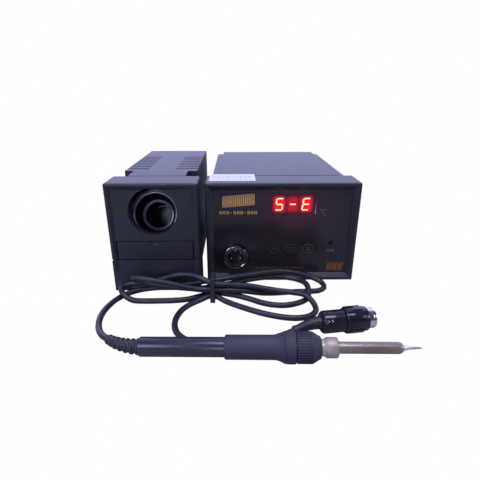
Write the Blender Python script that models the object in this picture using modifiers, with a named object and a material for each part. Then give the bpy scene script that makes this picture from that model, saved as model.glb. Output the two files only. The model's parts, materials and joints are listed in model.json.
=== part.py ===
"""Soldering iron station: a control station, an iron holder box with a sponge drawer, and the iron
with its tied cord and plug.

Working frame: X to the right, Y to the back, Z up, in metres. Z = 0 is the table, Y = 0 is the front
plane of the station. At the end the whole model is moved so that its origin is in the middle of its base.
"""
import math

import bmesh
import bpy
from mathutils import Vector

# --- general -------------------------------------------------------------------------------------
GAP = 0.0003                 # gap between pieces that touch
SLIDE_GAP = 0.0006           # gap round a piece that slides or turns
REACH = 0.002                # how far a cutter runs past the face that it opens
BASE_LIFT = 0.001            # underside of the boxes above the table
FOOT_RADIUS = 0.006
FOOT_INSET = 0.014           # centre of a foot from the sides of its box
ROUND_STEPS = 32
SMALL_STEPS = 20

# --- control station -------------------------------------------------------------------------------
STATION_LEFT = -0.0281
STATION_WIDTH = 0.146
STATION_HEIGHT = 0.101
STATION_DEPTH = 0.192
STATION_WALL = 0.0025
FRAME_DEPTH = 0.035
FRAME_LIP = 0.0032           # flat front edge of the frame
FRAME_BORDER = 0.0075        # lip and slope together
FRAME_RECESS = 0.004         # panel face behind the frame's front
EDGE_RADIUS = 0.0016
BODY_INSET = 0.0048          # sides of the rear body inside the frame's sides
NECK_LENGTH = 0.010          # narrow part of the body behind the frame
NECK_INSET = 0.006           # sides of the neck inside the sides of the rear body
SPLIT_HEIGHT = 0.033         # seam between base and cover
PLATE_STEP = 0.003           # side ledges below the raised top plate
LEDGE_WIDTH = 0.0078
PANEL_THICKNESS = 0.002
REAR_PANEL_INSET = 0.003
VENT_COUNT = 9
VENT_PITCH = 0.009
VENT_WIDTH = 0.003
VENT_HEIGHT = 0.028

# --- front panel of the station, places from the station's middle and the table -----------------------
DISPLAY_X = 0.0105
DISPLAY_Z = 0.0795
DISPLAY_WIDTH = 0.0412
DISPLAY_HEIGHT = 0.0208
DISPLAY_DEPTH = 0.008
WINDOW_THICKNESS = 0.0012
KEY_RADIUS = 0.006
KEY_COLLAR = 0.0012
KEY_TRAVEL = 0.0005
KEY_PLACES = {"key_up": -0.0064, "key_down": 0.0102, "key_set": 0.0269}
KEY_Z = 0.034
KEY_STEM_RADIUS = 0.002
SWITCH_SIZE = 0.006
SWITCH_HEIGHT = 0.003
BOARD_THICKNESS = 0.0016
TRIMMER_X = 0.0491
TRIMMER_Z = 0.040
TRIMMER_HOLE = 0.002
TRIMMER_RADIUS = 0.0029
SOCKET_X = -0.0446
SOCKET_Z = 0.0265
SOCKET_RING_RADIUS = 0.0125
SOCKET_BORE_RADIUS = 0.0098
SOCKET_BODY_LENGTH = 0.018
SOCKET_PROUD = 0.0050        # ring in front of the panel
SOCKET_FACE_DEPTH = 0.0085   # insert behind the ring's front
PIN_LENGTH = 0.0035
PIN_RADIUS = 0.0009
PIN_CIRCLE = 0.0054
PIN_COUNT = 5

# --- inside and back of the station -------------------------------------------------------------------
CORE_SIZE = (0.057, 0.032, 0.048)
CORE_LEG = 0.0095
WINDING_BULGE = 0.010
TRANSFORMER_MARGIN = 0.003   # from the transformer to the longest piece behind the rear panel
BOARD_SIZE = (0.096, 0.034)
POST_HEIGHT = 0.006
POST_RADIUS = 0.003
CAPACITOR_RADIUS = 0.0065
CAPACITOR_HEIGHT = 0.020
HEATSINK_SIZE = (0.024, 0.012, 0.026)
INLET_X = 0.038
INLET_Z = 0.028
INLET_SIZE = (0.027, 0.0195)
INLET_DEPTH = 0.018
INLET_FLANGE = 0.002
INLET_WALL = 0.0022
ROCKER_X = 0.000
ROCKER_Z = 0.028
ROCKER_SIZE = (0.0105, 0.0165)
ROCKER_FRAME_WALL = 0.0014
ROCKER_TILT = 10.0           # degrees either side of level
ROCKER_DEPTH = 0.012
FUSE_X = -0.036
FUSE_Z = 0.028
FUSE_RADIUS = 0.0065
FUSE_CAP_HEIGHT = 0.007
FUSE_LENGTH = 0.024

# --- iron holder box ---------------------------------------------------------------------------------
BOX_GAP = 0.0051             # between the two boxes
HOLDER_WIDTH = 0.0817
HOLDER_HEIGHT = 0.1054
HOLDER_DEPTH = 0.192
HOLDER_FRONT = -0.0192
HOLDER_WALL = 0.0025
HOLDER_FRAME_DEPTH = 0.032
HOLDER_BORDER = 0.0055
HOLDER_LIP = 0.0025
HOLDER_RECESS = 0.002
HOLDER_INSET = 0.0046
HOLDER_NECK_LENGTH = 0.024
HOLDER_NECK_INSET = 0.009
HOLDER_SPLIT = 0.0324        # seam between the holder's base and its front and cover
SEAM_RADIUS = 0.0008         # edges of the holder's base
DRAWER_TOP = 0.0512          # seam over the sponge drawer
NOTCH_RADIUS = 0.0048
GROOVE_COUNT = 8
GROOVE_WIDTH = 0.003
GROOVE_PITCH = 0.0105
GROOVE_DEPTH = 0.0012
STRIP_HALF = 0.0138          # smooth strip down the middle of the holder's top
MOUTH_Z = 0.0788
MOUTH_RADIUS = 0.0218
MOUTH_COLLAR = 0.0012
REST_TILT = 22.0             # degrees, down towards the back
REST_RECESS = 0.013          # middle of the rest's rim behind the face
REST_RIM_RADIUS = 0.0190
REST_TUBE_RADIUS = 0.0120
REST_CONE_LENGTH = 0.015
REST_LENGTH = 0.062
REST_WALL = 0.0018
REST_FLANGE = 0.0230
CUP_DEPTH = 0.020
CUP_WALL = 0.0008
DRAWER_DEPTH = 0.040
DRAWER_DROP = 0.0051         # rim of the drawer's box below the top of its front
DRAWER_FRONT = 0.003         # thickness of the drawer's front
DRAWER_WALL = 0.0016
SPONGE_HEIGHT = 0.006
SPONGE_MARGIN = 0.001

# --- iron, stations along its axis from the rear end of the handle -------------------------------------
IRON_REAR = (-0.0696, -0.1138)
IRON_HEADING = -4.15         # degrees from +X
TUBE_RADIUS = 0.0071
TUBE_BORE = 0.0058
TUBE_VISIBLE = 0.062
GRIP_RADIUS = 0.0087
GRIP_STRAIGHT = 0.034
FLARE_LENGTH = 0.0085
FLANGE_RADIUS = 0.0115
BAND_LENGTH = 0.0078
KNURL_LENGTH = 0.0106
TAPER_LENGTH = 0.0068
TAPER_RADIUS = 0.0074
THREAD_RADIUS = 0.0060
THREAD_SHOWN = 0.0020
NUT_RADIUS = 0.00725
NUT_LENGTH = 0.0097
BARREL_RADIUS = 0.00415
BARREL_WALL = 0.0007
BARREL_LENGTH = 0.0418
BARREL_CONE = 0.0018
TIP_RADIUS = 0.0025
TIP_LENGTH = 0.0137
TIP_POINT_RADIUS = 0.0003
HEATER_RADIUS = 0.0015
RELIEF_REAR_RADIUS = 0.0036

# --- plug ------------------------------------------------------------------------------------------
PLUG_REAR = (0.0664, -0.0899)
PLUG_HEADING = 8.6           # degrees from +X
PLUG_BODY_RADIUS = 0.00895
PLUG_BODY_LENGTH = 0.0185
PLUG_RING_RADIUS = 0.01085
PLUG_RING_LENGTH = 0.019
PLUG_SHELL_RADIUS = 0.0080
PLUG_SHELL_SHOWN = 0.006
PLUG_SHELL_WALL = 0.0009
BOOT_RADIUS = 0.0053
BOOT_END_RADIUS = 0.0034

# --- cord --------------------------------------------------------------------------------------------
CORD_DIAMETER = 0.0052
CORD_MAX_STEP = 0.022        # longest stretch between two points of the tube
CORD_MAX_TURN = 36.0         # degrees that the tube may turn between two points
TIE_X = -0.0208
TIE_WIDTH = 0.0045
TIE_THICKNESS = 0.0011
TIE_CENTRE = (-0.0329, 0.0116)
TIE_HALF = (0.0078, 0.0102)  # from the centre to the inside of the tie, along Y and Z

# Route of the cord in millimetres, from the iron's strain relief to the plug's boot.
LEAD_FROM_IRON = [
    (-94.5, -104.5, 7), (-103, -95.5, 4.6), (-109.5, -84, 3), (-113, -72, 2.8), (-113.8, -60, 2.8),
    (-112, -48.5, 2.8), (-108.5, -38.5, 2.8), (-102.5, -29.5, 2.9), (-94, -24, 3.6), (-84, -22.6, 5),
    (-72, -22.6, 6.2), (-58, -23, 7.6), (-46, -24.2, 10), (-35, -26.3, 13.6), (-20.8, -29.8, 17.2),
]
RIGHT_LOOP_HIGH = [
    (-8, -28, 18.3), (6, -22, 18), (22, -13, 16), (38, -6.5, 14.5), (52, -5.2, 13.3), (66, -5.3, 10.6),
    (77, -6.5, 7.3), (84.5, -11.5, 4.7), (85.2, -19, 3), (78.5, -24.4, 2.7), (69, -25.4, 2.7),
    (56, -26, 2.7), (40, -28, 2.7), (26, -30.6, 4), (10, -33.3, 7.6), (-5, -35.3, 9.8),
    (-20.8, -35.8, 10.8),
]
LEFT_LOOP_HIGH = [
    (-34, -37.2, 12), (-46, -39.4, 15.8), (-58, -41.2, 20), (-71, -42.4, 23.6), (-82, -42.3, 25.6),
    (-89, -39.8, 25.4), (-92.2, -35.2, 22.5), (-91, -30.4, 18.2), (-85.5, -27.6, 14.8), (-76, -27.6, 12.4),
    (-64, -28.4, 10.8), (-50, -29.4, 9.4), (-36, -30.2, 8.8), (-20.8, -29.8, 10.8),
]
RIGHT_LOOP_MIDDLE = [
    (-6, -26, 11.6), (7, -19.5, 11.3), (24, -10.5, 9.6), (40, -6, 8.7), (54, -7, 7.6), (63, -12.5, 7.6),
    (67.2, -21, 8.4), (68.2, -29.5, 6.4), (66.3, -37.5, 2.9), (61, -43.5, 2.7), (53, -48, 2.7),
    (44, -50.4, 2.7), (34, -49.6, 2.7), (24, -46, 2.7), (13, -39, 2.7), (2, -33, 2.7), (-9, -30.4, 3.4),
    (-20.8, -29.8, 4.8),
]
LEFT_LOOP_LOW = [
    (-32, -34, 3.4), (-43, -38.5, 2.7), (-56, -40.8, 2.7), (-70, -41.4, 2.7), (-83, -41.4, 2.7),
    (-93, -40.8, 3.2), (-100, -38.3, 6.2), (-104.8, -33.2, 8.8), (-105.2, -27.5, 9.6),
    (-100.5, -23.2, 10), (-92, -22.3, 10.6), (-80, -22.3, 12.2), (-69, -22.3, 15), (-59, -22.3, 18),
    (-50, -22.8, 19.8), (-41, -26, 20.8), (-32, -31, 20.3), (-20.8, -35.8, 17.2),
]
RIGHT_LOOP_LOW = [
    (-5, -34.6, 15.2), (12, -32.6, 12.7), (28, -32.5, 9.6), (40, -33.6, 8), (52, -36.4, 7.8),
    (62.5, -41.7, 8.2), (68.5, -49.5, 5.2), (70, -57, 2.8), (67, -64, 2.7), (61, -68.8, 2.7),
    (52, -71, 2.7), (43, -70.2, 2.7), (32, -67, 2.7), (21.5, -62.5, 2.7), (11, -56.5, 2.7),
    (0, -49.5, 2.7), (-10, -42.5, 3), (-20.8, -35.8, 4.8),
]
LEAD_TO_PLUG = [
    (-33, -41.5, 3), (-41, -48.5, 2.7), (-46.5, -57, 2.7), (-49.5, -67.5, 2.7), (-49.8, -78.5, 2.7),
    (-46.8, -89.5, 2.7), (-40.5, -98, 2.7), (-31, -103.3, 2.7), (-18, -105.4, 2.7), (-2, -105.4, 2.7),
    (13, -103.4, 2.7), (26, -100, 2.9), (36, -96.8, 3.9), (45, -93.6, 5.6),
]
CORD_ROUTE = (LEAD_FROM_IRON + RIGHT_LOOP_HIGH + LEFT_LOOP_HIGH + RIGHT_LOOP_MIDDLE + LEFT_LOOP_LOW
              + RIGHT_LOOP_LOW + LEAD_TO_PLUG)

# --- places that follow from the sizes -----------------------------------------------------------------
STATION_X = STATION_LEFT + STATION_WIDTH / 2
STATION_RIGHT = STATION_LEFT + STATION_WIDTH
BODY_LEFT = STATION_LEFT + BODY_INSET
BODY_RIGHT = STATION_RIGHT - BODY_INSET
PANEL_FACE = FRAME_RECESS + GAP
PANEL_BACK = PANEL_FACE + PANEL_THICKNESS
BOARD_FRONT = PANEL_BACK + GAP + DISPLAY_DEPTH + GAP
REAR_PANEL_FACE = STATION_DEPTH - REAR_PANEL_INSET
REAR_PANEL_FRONT = REAR_PANEL_FACE - PANEL_THICKNESS
LEDGE_TOP = STATION_HEIGHT - PLATE_STEP
STATION_FLOOR = BASE_LIFT + STATION_WALL
HOLDER_RIGHT = STATION_LEFT - BOX_GAP
HOLDER_LEFT = HOLDER_RIGHT - HOLDER_WIDTH
HOLDER_X = (HOLDER_LEFT + HOLDER_RIGHT) / 2
HOLDER_FACE = HOLDER_FRONT + HOLDER_RECESS
HOLDER_FRAME_BACK = HOLDER_FRONT + HOLDER_FRAME_DEPTH
HOLDER_BACK = HOLDER_FRONT + HOLDER_DEPTH
HOLDER_FLOOR = BASE_LIFT + HOLDER_WALL
FLARE_START = TUBE_VISIBLE + GRIP_STRAIGHT
BAND_START = FLARE_START + FLARE_LENGTH
CAP_START = BAND_START + BAND_LENGTH
TAPER_START = CAP_START + KNURL_LENGTH
CAP_END = TAPER_START + TAPER_LENGTH
NUT_START = CAP_END + THREAD_SHOWN
NUT_END = NUT_START + NUT_LENGTH
BARREL_CONE_START = NUT_END + BARREL_LENGTH
BARREL_END = BARREL_CONE_START + BARREL_CONE
TIP_END = BARREL_END + TIP_LENGTH
CORD_NODES = ("cord", "cord_tie", "plug_boot", "plug_body", "plug_ring", "plug_shell", "plug_insert")


# --- tools ---------------------------------------------------------------------------------------------
def clear_scene():
    for item in list(bpy.data.objects):
        bpy.data.objects.remove(item, do_unlink=True)


def new_collection(name):
    made = bpy.data.collections.new(name)
    bpy.context.scene.collection.children.link(made)
    return made


def make_material(name, colour, roughness, metallic=0.0):
    made = bpy.data.materials.new(name)
    made.use_nodes = True
    shader = made.node_tree.nodes["Principled BSDF"]
    shader.inputs["Base Color"].default_value = (*colour, 1.0)
    shader.inputs["Roughness"].default_value = roughness
    shader.inputs["Metallic"].default_value = metallic
    return made


def add_object(name, data, material):
    made = bpy.data.objects.new(name, data)
    PARTS.objects.link(made)
    made.data.materials.append(material)
    made.parent = ROOT
    return made


def as_cutter(item):
    """Turn an object into a hidden helper that others cut or join with."""
    PARTS.objects.unlink(item)
    CUTTERS.objects.link(item)
    item.hide_render = True
    item.display_type = "WIRE"
    return item


def mesh_from(build):
    made = bmesh.new()
    build(made)
    data = bpy.data.meshes.new("shape")
    made.to_mesh(data)
    made.free()
    return data


def fill_box(made, low, high):
    corners = bmesh.ops.create_cube(made, size=1.0)["verts"]
    low, high = Vector(low), Vector(high)
    bmesh.ops.scale(made, vec=high - low, verts=corners)
    bmesh.ops.translate(made, vec=(low + high) / 2, verts=corners)
    return corners


def box(name, low, high, material, radius=0.0):
    made = add_object(name, mesh_from(lambda mesh: fill_box(mesh, low, high)), material)
    if radius:
        round_edges(made, radius)
    return made


def round_edges(item, radius, segments=2):
    bevel = item.modifiers.new("round edges", "BEVEL")
    bevel.width = radius
    bevel.segments = segments
    bevel.limit_method = "ANGLE"
    bevel.angle_limit = math.radians(40)


def boxes(places):
    """One hidden helper made of several separate boxes, each given by its low and high corner."""
    def build(mesh):
        for low, high in places:
            fill_box(mesh, low, high)
    return as_cutter(add_object("box_helper", mesh_from(build), PLAIN))


def wedge(low, high, shrink):
    """Box helper whose face at high Y is smaller by shrink on every side."""
    def build(mesh):
        corners = fill_box(mesh, low, high)
        back = [corner for corner in corners if corner.co.y > (low[1] + high[1]) / 2]
        for corner in back:
            corner.co.x += shrink if corner.co.x < (low[0] + high[0]) / 2 else -shrink
            corner.co.z += shrink if corner.co.z < (low[2] + high[2]) / 2 else -shrink
    return as_cutter(add_object("wedge_helper", mesh_from(build), PLAIN))


def boolean(item, helper, operation):
    step = item.modifiers.new(operation.lower(), "BOOLEAN")
    step.operation = operation
    step.solver = "EXACT"
    step.object = helper


def cut(item, *helpers):
    for helper in helpers:
        boolean(item, helper, "DIFFERENCE")


def join(item, *helpers):
    for helper in helpers:
        boolean(item, helper, "UNION")


def turned(name, profile, place, direction, material, closed=False, steps=ROUND_STEPS):
    """Turn a profile of (radius, height) points, outer side first from top to bottom, about its axis."""
    data = bpy.data.meshes.new("profile")
    points = [(radius, 0.0, height) for radius, height in profile]
    edges = [(index, index + 1) for index in range(len(points) - 1)]
    if closed:
        edges.append((len(points) - 1, 0))
    data.from_pydata(points, edges, [])
    made = add_object(name, data, material)
    screw = made.modifiers.new("turn", "SCREW")
    screw.steps = steps
    screw.render_steps = steps
    screw.use_merge_vertices = True
    screw.merge_threshold = 0.00001
    made.location = place
    made.rotation_mode = "QUATERNION"
    made.rotation_quaternion = Vector((0, 0, 1)).rotation_difference(Vector(direction))
    return made


def cylinder(name, radius, low, high, place, direction, material, steps=ROUND_STEPS):
    """Plain round solid with flat ends, from low to high along its axis."""
    def build(mesh):
        made = bmesh.ops.create_cone(mesh, cap_ends=True, segments=steps, radius1=radius, radius2=radius,
                                     depth=high - low)["verts"]
        bmesh.ops.translate(mesh, vec=(0, 0, (low + high) / 2), verts=made)

    made = add_object(name, mesh_from(build), material)
    smooth_round(made)
    made.location = place
    made.rotation_mode = "QUATERNION"
    made.rotation_quaternion = Vector((0, 0, 1)).rotation_difference(Vector(direction))
    return made


def rod(radius, low, high, place, direction, steps=ROUND_STEPS):
    """Hidden round helper from low to high along its axis."""
    return as_cutter(cylinder("rod_helper", radius, low, high, place, direction, PLAIN, steps))


def tube_profile(outer, inner, low, high):
    return [(outer, high), (outer, low), (inner, low), (inner, high)]


def bent_rod(name, points, radii, material):
    """Round bar through the points, with its own radius at each."""
    data = bpy.data.curves.new(name, "CURVE")
    data.dimensions = "3D"
    data.bevel_depth = 1.0
    data.bevel_resolution = 2
    data.use_fill_caps = True
    spline = data.splines.new("POLY")
    spline.points.add(len(points) - 1)
    for target, point, radius in zip(spline.points, points, radii):
        target.co = (*point, 1.0)
        target.radius = radius
    return add_object(name, data, material)


def move_origin(item, place):
    """Put an object's origin at a place on its joint's axis and leave its shape where it is."""
    offset = Vector(place)
    for corner in item.data.vertices:
        corner.co -= offset
    item.location = offset


def smooth_round(item):
    item.data.shade_smooth()
    item.data.set_sharp_from_angle(angle=math.radians(35))


# --- control station -------------------------------------------------------------------------------------
def station_front_frame():
    low = (STATION_LEFT, 0.0, BASE_LIFT)
    high = (STATION_RIGHT, FRAME_DEPTH, STATION_HEIGHT)
    frame = box("front_frame", low, high, BLACK_ABS, EDGE_RADIUS)
    slope = FRAME_BORDER - FRAME_LIP
    extra = REACH * slope / FRAME_RECESS
    edge = FRAME_LIP - extra
    cut(frame, wedge((low[0] + edge, -REACH, low[2] + edge),
                     (high[0] - edge, FRAME_RECESS, high[2] - edge), slope + extra))
    opening = FRAME_BORDER
    cut(frame, boxes([((low[0] + opening, FRAME_RECESS - REACH / 4, low[2] + opening),
                       (high[0] - opening, FRAME_RECESS + REACH, high[2] - opening))]))
    wall = STATION_WALL
    cut(frame, boxes([((low[0] + wall, FRAME_RECESS, low[2] + wall),
                       (high[0] - wall, FRAME_DEPTH - wall, high[2] - wall))]))
    neck = body_outline(FRAME_DEPTH, STATION_DEPTH, BASE_LIFT, LEDGE_TOP)[0]
    cut(frame, boxes([((neck[0][0] + wall, FRAME_DEPTH - wall * 2, neck[0][2] + wall),
                       (neck[1][0] - wall, FRAME_DEPTH + REACH, neck[1][2] - wall))]))


def on_panel(x, z, y=PANEL_FACE):
    return (STATION_X + x, y, z)


def station_front_panel():
    inset = STATION_WALL + GAP
    low = (STATION_LEFT + inset, PANEL_FACE, BASE_LIFT + inset)
    high = (STATION_RIGHT - inset, PANEL_BACK, STATION_HEIGHT - inset)
    panel = box("front_panel", low, high, BLACK_GLOSS)
    half_x, half_z = DISPLAY_WIDTH / 2, DISPLAY_HEIGHT / 2
    cut(panel, boxes([(on_panel(DISPLAY_X - half_x, DISPLAY_Z - half_z, PANEL_FACE - REACH),
                       on_panel(DISPLAY_X + half_x, DISPLAY_Z + half_z, PANEL_BACK + REACH))]))
    for x in KEY_PLACES.values():
        cut(panel, rod(KEY_RADIUS + GAP, -REACH, REACH * 2, on_panel(x, KEY_Z), (0, 1, 0)))
    cut(panel, rod(TRIMMER_HOLE, -REACH, REACH * 2, on_panel(TRIMMER_X, TRIMMER_Z), (0, 1, 0), SMALL_STEPS))
    cut(panel, rod(SOCKET_BORE_RADIUS + GAP, -REACH, REACH * 2, on_panel(SOCKET_X, SOCKET_Z), (0, 1, 0)))


def station_display():
    half_x, half_z = DISPLAY_WIDTH / 2 - GAP, DISPLAY_HEIGHT / 2 - GAP
    box("display_window", on_panel(DISPLAY_X - half_x, DISPLAY_Z - half_z, PANEL_FACE),
        on_panel(DISPLAY_X + half_x, DISPLAY_Z + half_z, PANEL_FACE + WINDOW_THICKNESS), RED_WINDOW)
    front = PANEL_FACE + WINDOW_THICKNESS + GAP
    box("display_module", on_panel(DISPLAY_X - half_x, DISPLAY_Z - half_z, front),
        on_panel(DISPLAY_X + half_x, DISPLAY_Z + half_z, BOARD_FRONT - GAP), DARK_PLASTIC)


def station_keys():
    collar_front = PANEL_BACK + GAP - PANEL_FACE
    collar_back = collar_front + KEY_COLLAR
    switch_front = BOARD_FRONT - SWITCH_HEIGHT - PANEL_FACE
    stem_end = switch_front - KEY_TRAVEL - GAP
    proud = 0.0002
    for name, x in KEY_PLACES.items():
        profile = [(0, stem_end), (KEY_STEM_RADIUS, stem_end), (KEY_STEM_RADIUS, collar_back),
                   (KEY_RADIUS + KEY_COLLAR, collar_back), (KEY_RADIUS + KEY_COLLAR, collar_front),
                   (KEY_RADIUS, collar_front), (KEY_RADIUS, -proud), (0, -proud)]
        turned(name, profile, on_panel(x, KEY_Z), (0, 1, 0), KEY_GREY)


def station_key_board():
    """Board behind the front panel with its three switches and the trimmer's seat."""
    left = SOCKET_X + SOCKET_RING_RADIUS + 0.004
    right = STATION_WIDTH / 2 - STATION_WALL - 0.006
    low_z = KEY_Z - SWITCH_SIZE * 1.6
    high_z = DISPLAY_Z + DISPLAY_HEIGHT / 2
    board = box("key_board", on_panel(left, low_z, BOARD_FRONT),
                on_panel(right, high_z, BOARD_FRONT + BOARD_THICKNESS), BOARD_GREEN)
    half = SWITCH_SIZE / 2
    switch_front = BOARD_FRONT - SWITCH_HEIGHT
    seat_front = trimmer_back() + GAP
    blocks = [(on_panel(x - half, KEY_Z - half, switch_front),
               on_panel(x + half, KEY_Z + half, BOARD_FRONT + BOARD_THICKNESS / 2))
              for x in KEY_PLACES.values()]
    blocks.append((on_panel(TRIMMER_X - half, TRIMMER_Z - half, seat_front),
                   on_panel(TRIMMER_X + half, TRIMMER_Z + half, BOARD_FRONT + BOARD_THICKNESS / 2)))
    join(board, boxes(blocks))


def trimmer_back():
    return PANEL_BACK + GAP + 0.003


def station_trimmer():
    """Rotor of the calibration trimmer, turned with a screwdriver through the panel."""
    front = PANEL_BACK + GAP
    place = on_panel(TRIMMER_X, TRIMMER_Z, front)
    thickness = trimmer_back() - front
    rotor = cylinder("cal_trimmer", TRIMMER_RADIUS, 0.0, thickness, place, (0, 1, 0), BRASS, SMALL_STEPS)
    slot = TRIMMER_HOLE * 0.8
    cut(rotor, boxes([(on_panel(TRIMMER_X - slot, TRIMMER_Z - 0.0004, front - REACH),
                       on_panel(TRIMMER_X + slot, TRIMMER_Z + 0.0004, front + 0.0008))]))


def station_socket():
    """Round socket for the iron's plug: ring on the panel, body behind it, insert and five pins."""
    place = on_panel(SOCKET_X, SOCKET_Z)
    along = (0, 1, 0)
    front = -SOCKET_PROUD
    ring = turned("socket_ring", [
        (SOCKET_RING_RADIUS, -GAP), (SOCKET_RING_RADIUS, front + 0.001),
        (SOCKET_RING_RADIUS - 0.001, front), (SOCKET_BORE_RADIUS + 0.0006, front),
        (SOCKET_BORE_RADIUS, front + 0.0006), (SOCKET_BORE_RADIUS, -GAP),
    ], place, along, BLACK_CHROME, closed=True)
    notch = 0.0016
    for turn in (90, 210, 330):
        angle = math.radians(turn)
        x = SOCKET_X + SOCKET_BORE_RADIUS * math.cos(angle)
        z = SOCKET_Z + SOCKET_BORE_RADIUS * math.sin(angle)
        cut(ring, rod(notch, front - REACH, front + 0.003, on_panel(x, z), along, 12))
    body_radius = SOCKET_BORE_RADIUS - GAP
    face = front + SOCKET_FACE_DEPTH
    behind = PANEL_BACK + GAP - PANEL_FACE
    turned("iron_socket", [
        (body_radius - 0.002, SOCKET_BODY_LENGTH), (body_radius - 0.002, behind + 0.005),
        (SOCKET_RING_RADIUS, behind + 0.005), (SOCKET_RING_RADIUS, behind),
        (body_radius, behind), (body_radius, front + 0.0012), (body_radius - 0.0014, front + 0.0012),
        (body_radius - 0.0014, behind + 0.006), (body_radius - 0.0034, behind + 0.006),
        (body_radius - 0.0034, SOCKET_BODY_LENGTH),
    ], place, along, DARK_METAL, closed=True)
    insert_radius = body_radius - 0.0014 - GAP
    insert_back = face + 0.003
    insert = cylinder("socket_insert", insert_radius, face, insert_back, place, along, DARK_PLASTIC)
    pins = cylinder("socket_pins", insert_radius, insert_back + GAP, insert_back + 0.0018, place, along,
                    CHROME)
    for index in range(PIN_COUNT):
        angle = math.radians(-30 + 240 * index / (PIN_COUNT - 1))
        x = SOCKET_X + PIN_CIRCLE * math.cos(angle)
        z = SOCKET_Z + PIN_CIRCLE * math.sin(angle)
        cut(insert, rod(PIN_RADIUS + GAP, face - REACH, insert_back + REACH, on_panel(x, z), along, 12))
        join(pins, rod(PIN_RADIUS, face - PIN_LENGTH, insert_back + 0.001, on_panel(x, z), along, 12))


def body_outline(front, back, low, high):
    """Low and high corners of the station's rear body and of its narrow neck."""
    neck_left = BODY_LEFT + NECK_INSET
    neck_right = BODY_RIGHT - NECK_INSET
    shoulder = front + NECK_LENGTH
    return [((neck_left, front, low), (neck_right, shoulder + REACH, high)),
            ((BODY_LEFT, shoulder, low), (BODY_RIGHT, back, high))]


def shrunk(outline, wall, drop_low, raise_high, back):
    """Outline pulled in by a wall at the sides, open at the front and moved at bottom, top and back."""
    made = []
    for low, high in outline:
        made.append(((low[0] + wall, low[1] + (wall if low[0] == BODY_LEFT else -REACH), low[2] + drop_low),
                     (high[0] - wall, back, high[2] + raise_high)))
    return made


def station_base():
    front = FRAME_DEPTH + GAP
    outline = body_outline(front, STATION_DEPTH, BASE_LIFT, SPLIT_HEIGHT - GAP)
    base = box("station_base", *outline[1], BLACK_ABS)
    join(base, boxes([outline[0]]))
    hollow = shrunk(outline, STATION_WALL, STATION_WALL, REACH, STATION_DEPTH + REACH)
    cut(base, boxes([hollow[1]]), boxes([hollow[0]]))
    join(base, *[rod(POST_RADIUS, STATION_FLOOR - STATION_WALL / 2, STATION_FLOOR + POST_HEIGHT,
                     (x, y, 0), (0, 0, 1), 12) for x, y in board_posts()])


def board_corners():
    left = STATION_X - BOARD_SIZE[0] / 2
    front = FRAME_DEPTH + NECK_LENGTH + 0.006
    return (left, front), (left + BOARD_SIZE[0], front + BOARD_SIZE[1])


def board_posts():
    low, high = board_corners()
    inset = POST_RADIUS * 1.5
    return [(x, y) for x in (low[0] + inset, high[0] - inset) for y in (low[1] + inset, high[1] - inset)]


def station_cover():
    front = FRAME_DEPTH + GAP
    outline = body_outline(front, STATION_DEPTH, SPLIT_HEIGHT, LEDGE_TOP)
    cover = box("station_cover", *outline[1], BLACK_ABS)
    plate_left = BODY_LEFT + LEDGE_WIDTH
    plate_right = BODY_RIGHT - LEDGE_WIDTH
    join(cover, boxes([outline[0]]))
    join(cover, boxes([((plate_left, front, LEDGE_TOP - REACH),
                        (plate_right, STATION_DEPTH, STATION_HEIGHT))]))
    hollow = shrunk(outline, STATION_WALL, -REACH, -STATION_WALL, STATION_DEPTH + REACH)
    cut(cover, boxes([hollow[1]]), boxes([hollow[0]]))
    first = FRAME_DEPTH + NECK_LENGTH + 0.018
    low = SPLIT_HEIGHT + 0.018
    slots = []
    for index in range(VENT_COUNT):
        y = first + index * VENT_PITCH
        for x in (BODY_LEFT, BODY_RIGHT):
            slots.append(((x - STATION_WALL * 2, y, low),
                          (x + STATION_WALL * 2, y + VENT_WIDTH, low + VENT_HEIGHT)))
    cut(cover, boxes(slots))


def station_rear_panel():
    inset = STATION_WALL + GAP
    low = (BODY_LEFT + inset, REAR_PANEL_FRONT, BASE_LIFT + inset)
    high = (BODY_RIGHT - inset, REAR_PANEL_FACE, LEDGE_TOP - inset)
    panel = box("rear_panel", low, high, BLACK_ABS)
    sizes = [(INLET_X, INLET_Z, INLET_SIZE[0], INLET_SIZE[1]),
             (ROCKER_X, ROCKER_Z, rocker_frame_size()[0], rocker_frame_size()[1])]
    for x, z, width, height in sizes:
        cut(panel, boxes([(on_panel(x - width / 2 - GAP, z - height / 2 - GAP, REAR_PANEL_FRONT - REACH),
                           on_panel(x + width / 2 + GAP, z + height / 2 + GAP, REAR_PANEL_FACE + REACH))]))
    cut(panel, rod(FUSE_RADIUS + GAP, -REACH, REACH * 2, on_panel(FUSE_X, FUSE_Z, REAR_PANEL_FRONT),
                   (0, 1, 0)))


def station_power_inlet():
    """Three-pin power inlet with its flange on the outside of the rear panel."""
    width, height = INLET_SIZE
    back = REAR_PANEL_FACE + GAP
    inlet = box("power_inlet", on_panel(INLET_X - width / 2, INLET_Z - height / 2, back - INLET_DEPTH),
                on_panel(INLET_X + width / 2, INLET_Z + height / 2, back + INLET_FLANGE), DARK_PLASTIC)
    rim = 0.0025
    join(inlet, boxes([(on_panel(INLET_X - width / 2 - rim, INLET_Z - height / 2 - rim, back),
                        on_panel(INLET_X + width / 2 + rim, INLET_Z + height / 2 + rim,
                                 back + INLET_FLANGE))]))
    wall = INLET_WALL
    floor = back - INLET_DEPTH + wall
    cut(inlet, boxes([(on_panel(INLET_X - width / 2 + wall, INLET_Z - height / 2 + wall, floor),
                       on_panel(INLET_X + width / 2 - wall, INLET_Z + height / 2 - wall, back + REACH * 2))]))
    pin = 0.002
    pins = []
    for x, z in ((-0.007, 0.0005), (0.0, 0.004), (0.007, 0.0005)):
        pins.append((on_panel(INLET_X + x - pin / 2, INLET_Z + z - pin, floor - wall / 2),
                     on_panel(INLET_X + x + pin / 2, INLET_Z + z + pin, back - 0.001)))
    join(inlet, boxes(pins))


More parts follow.
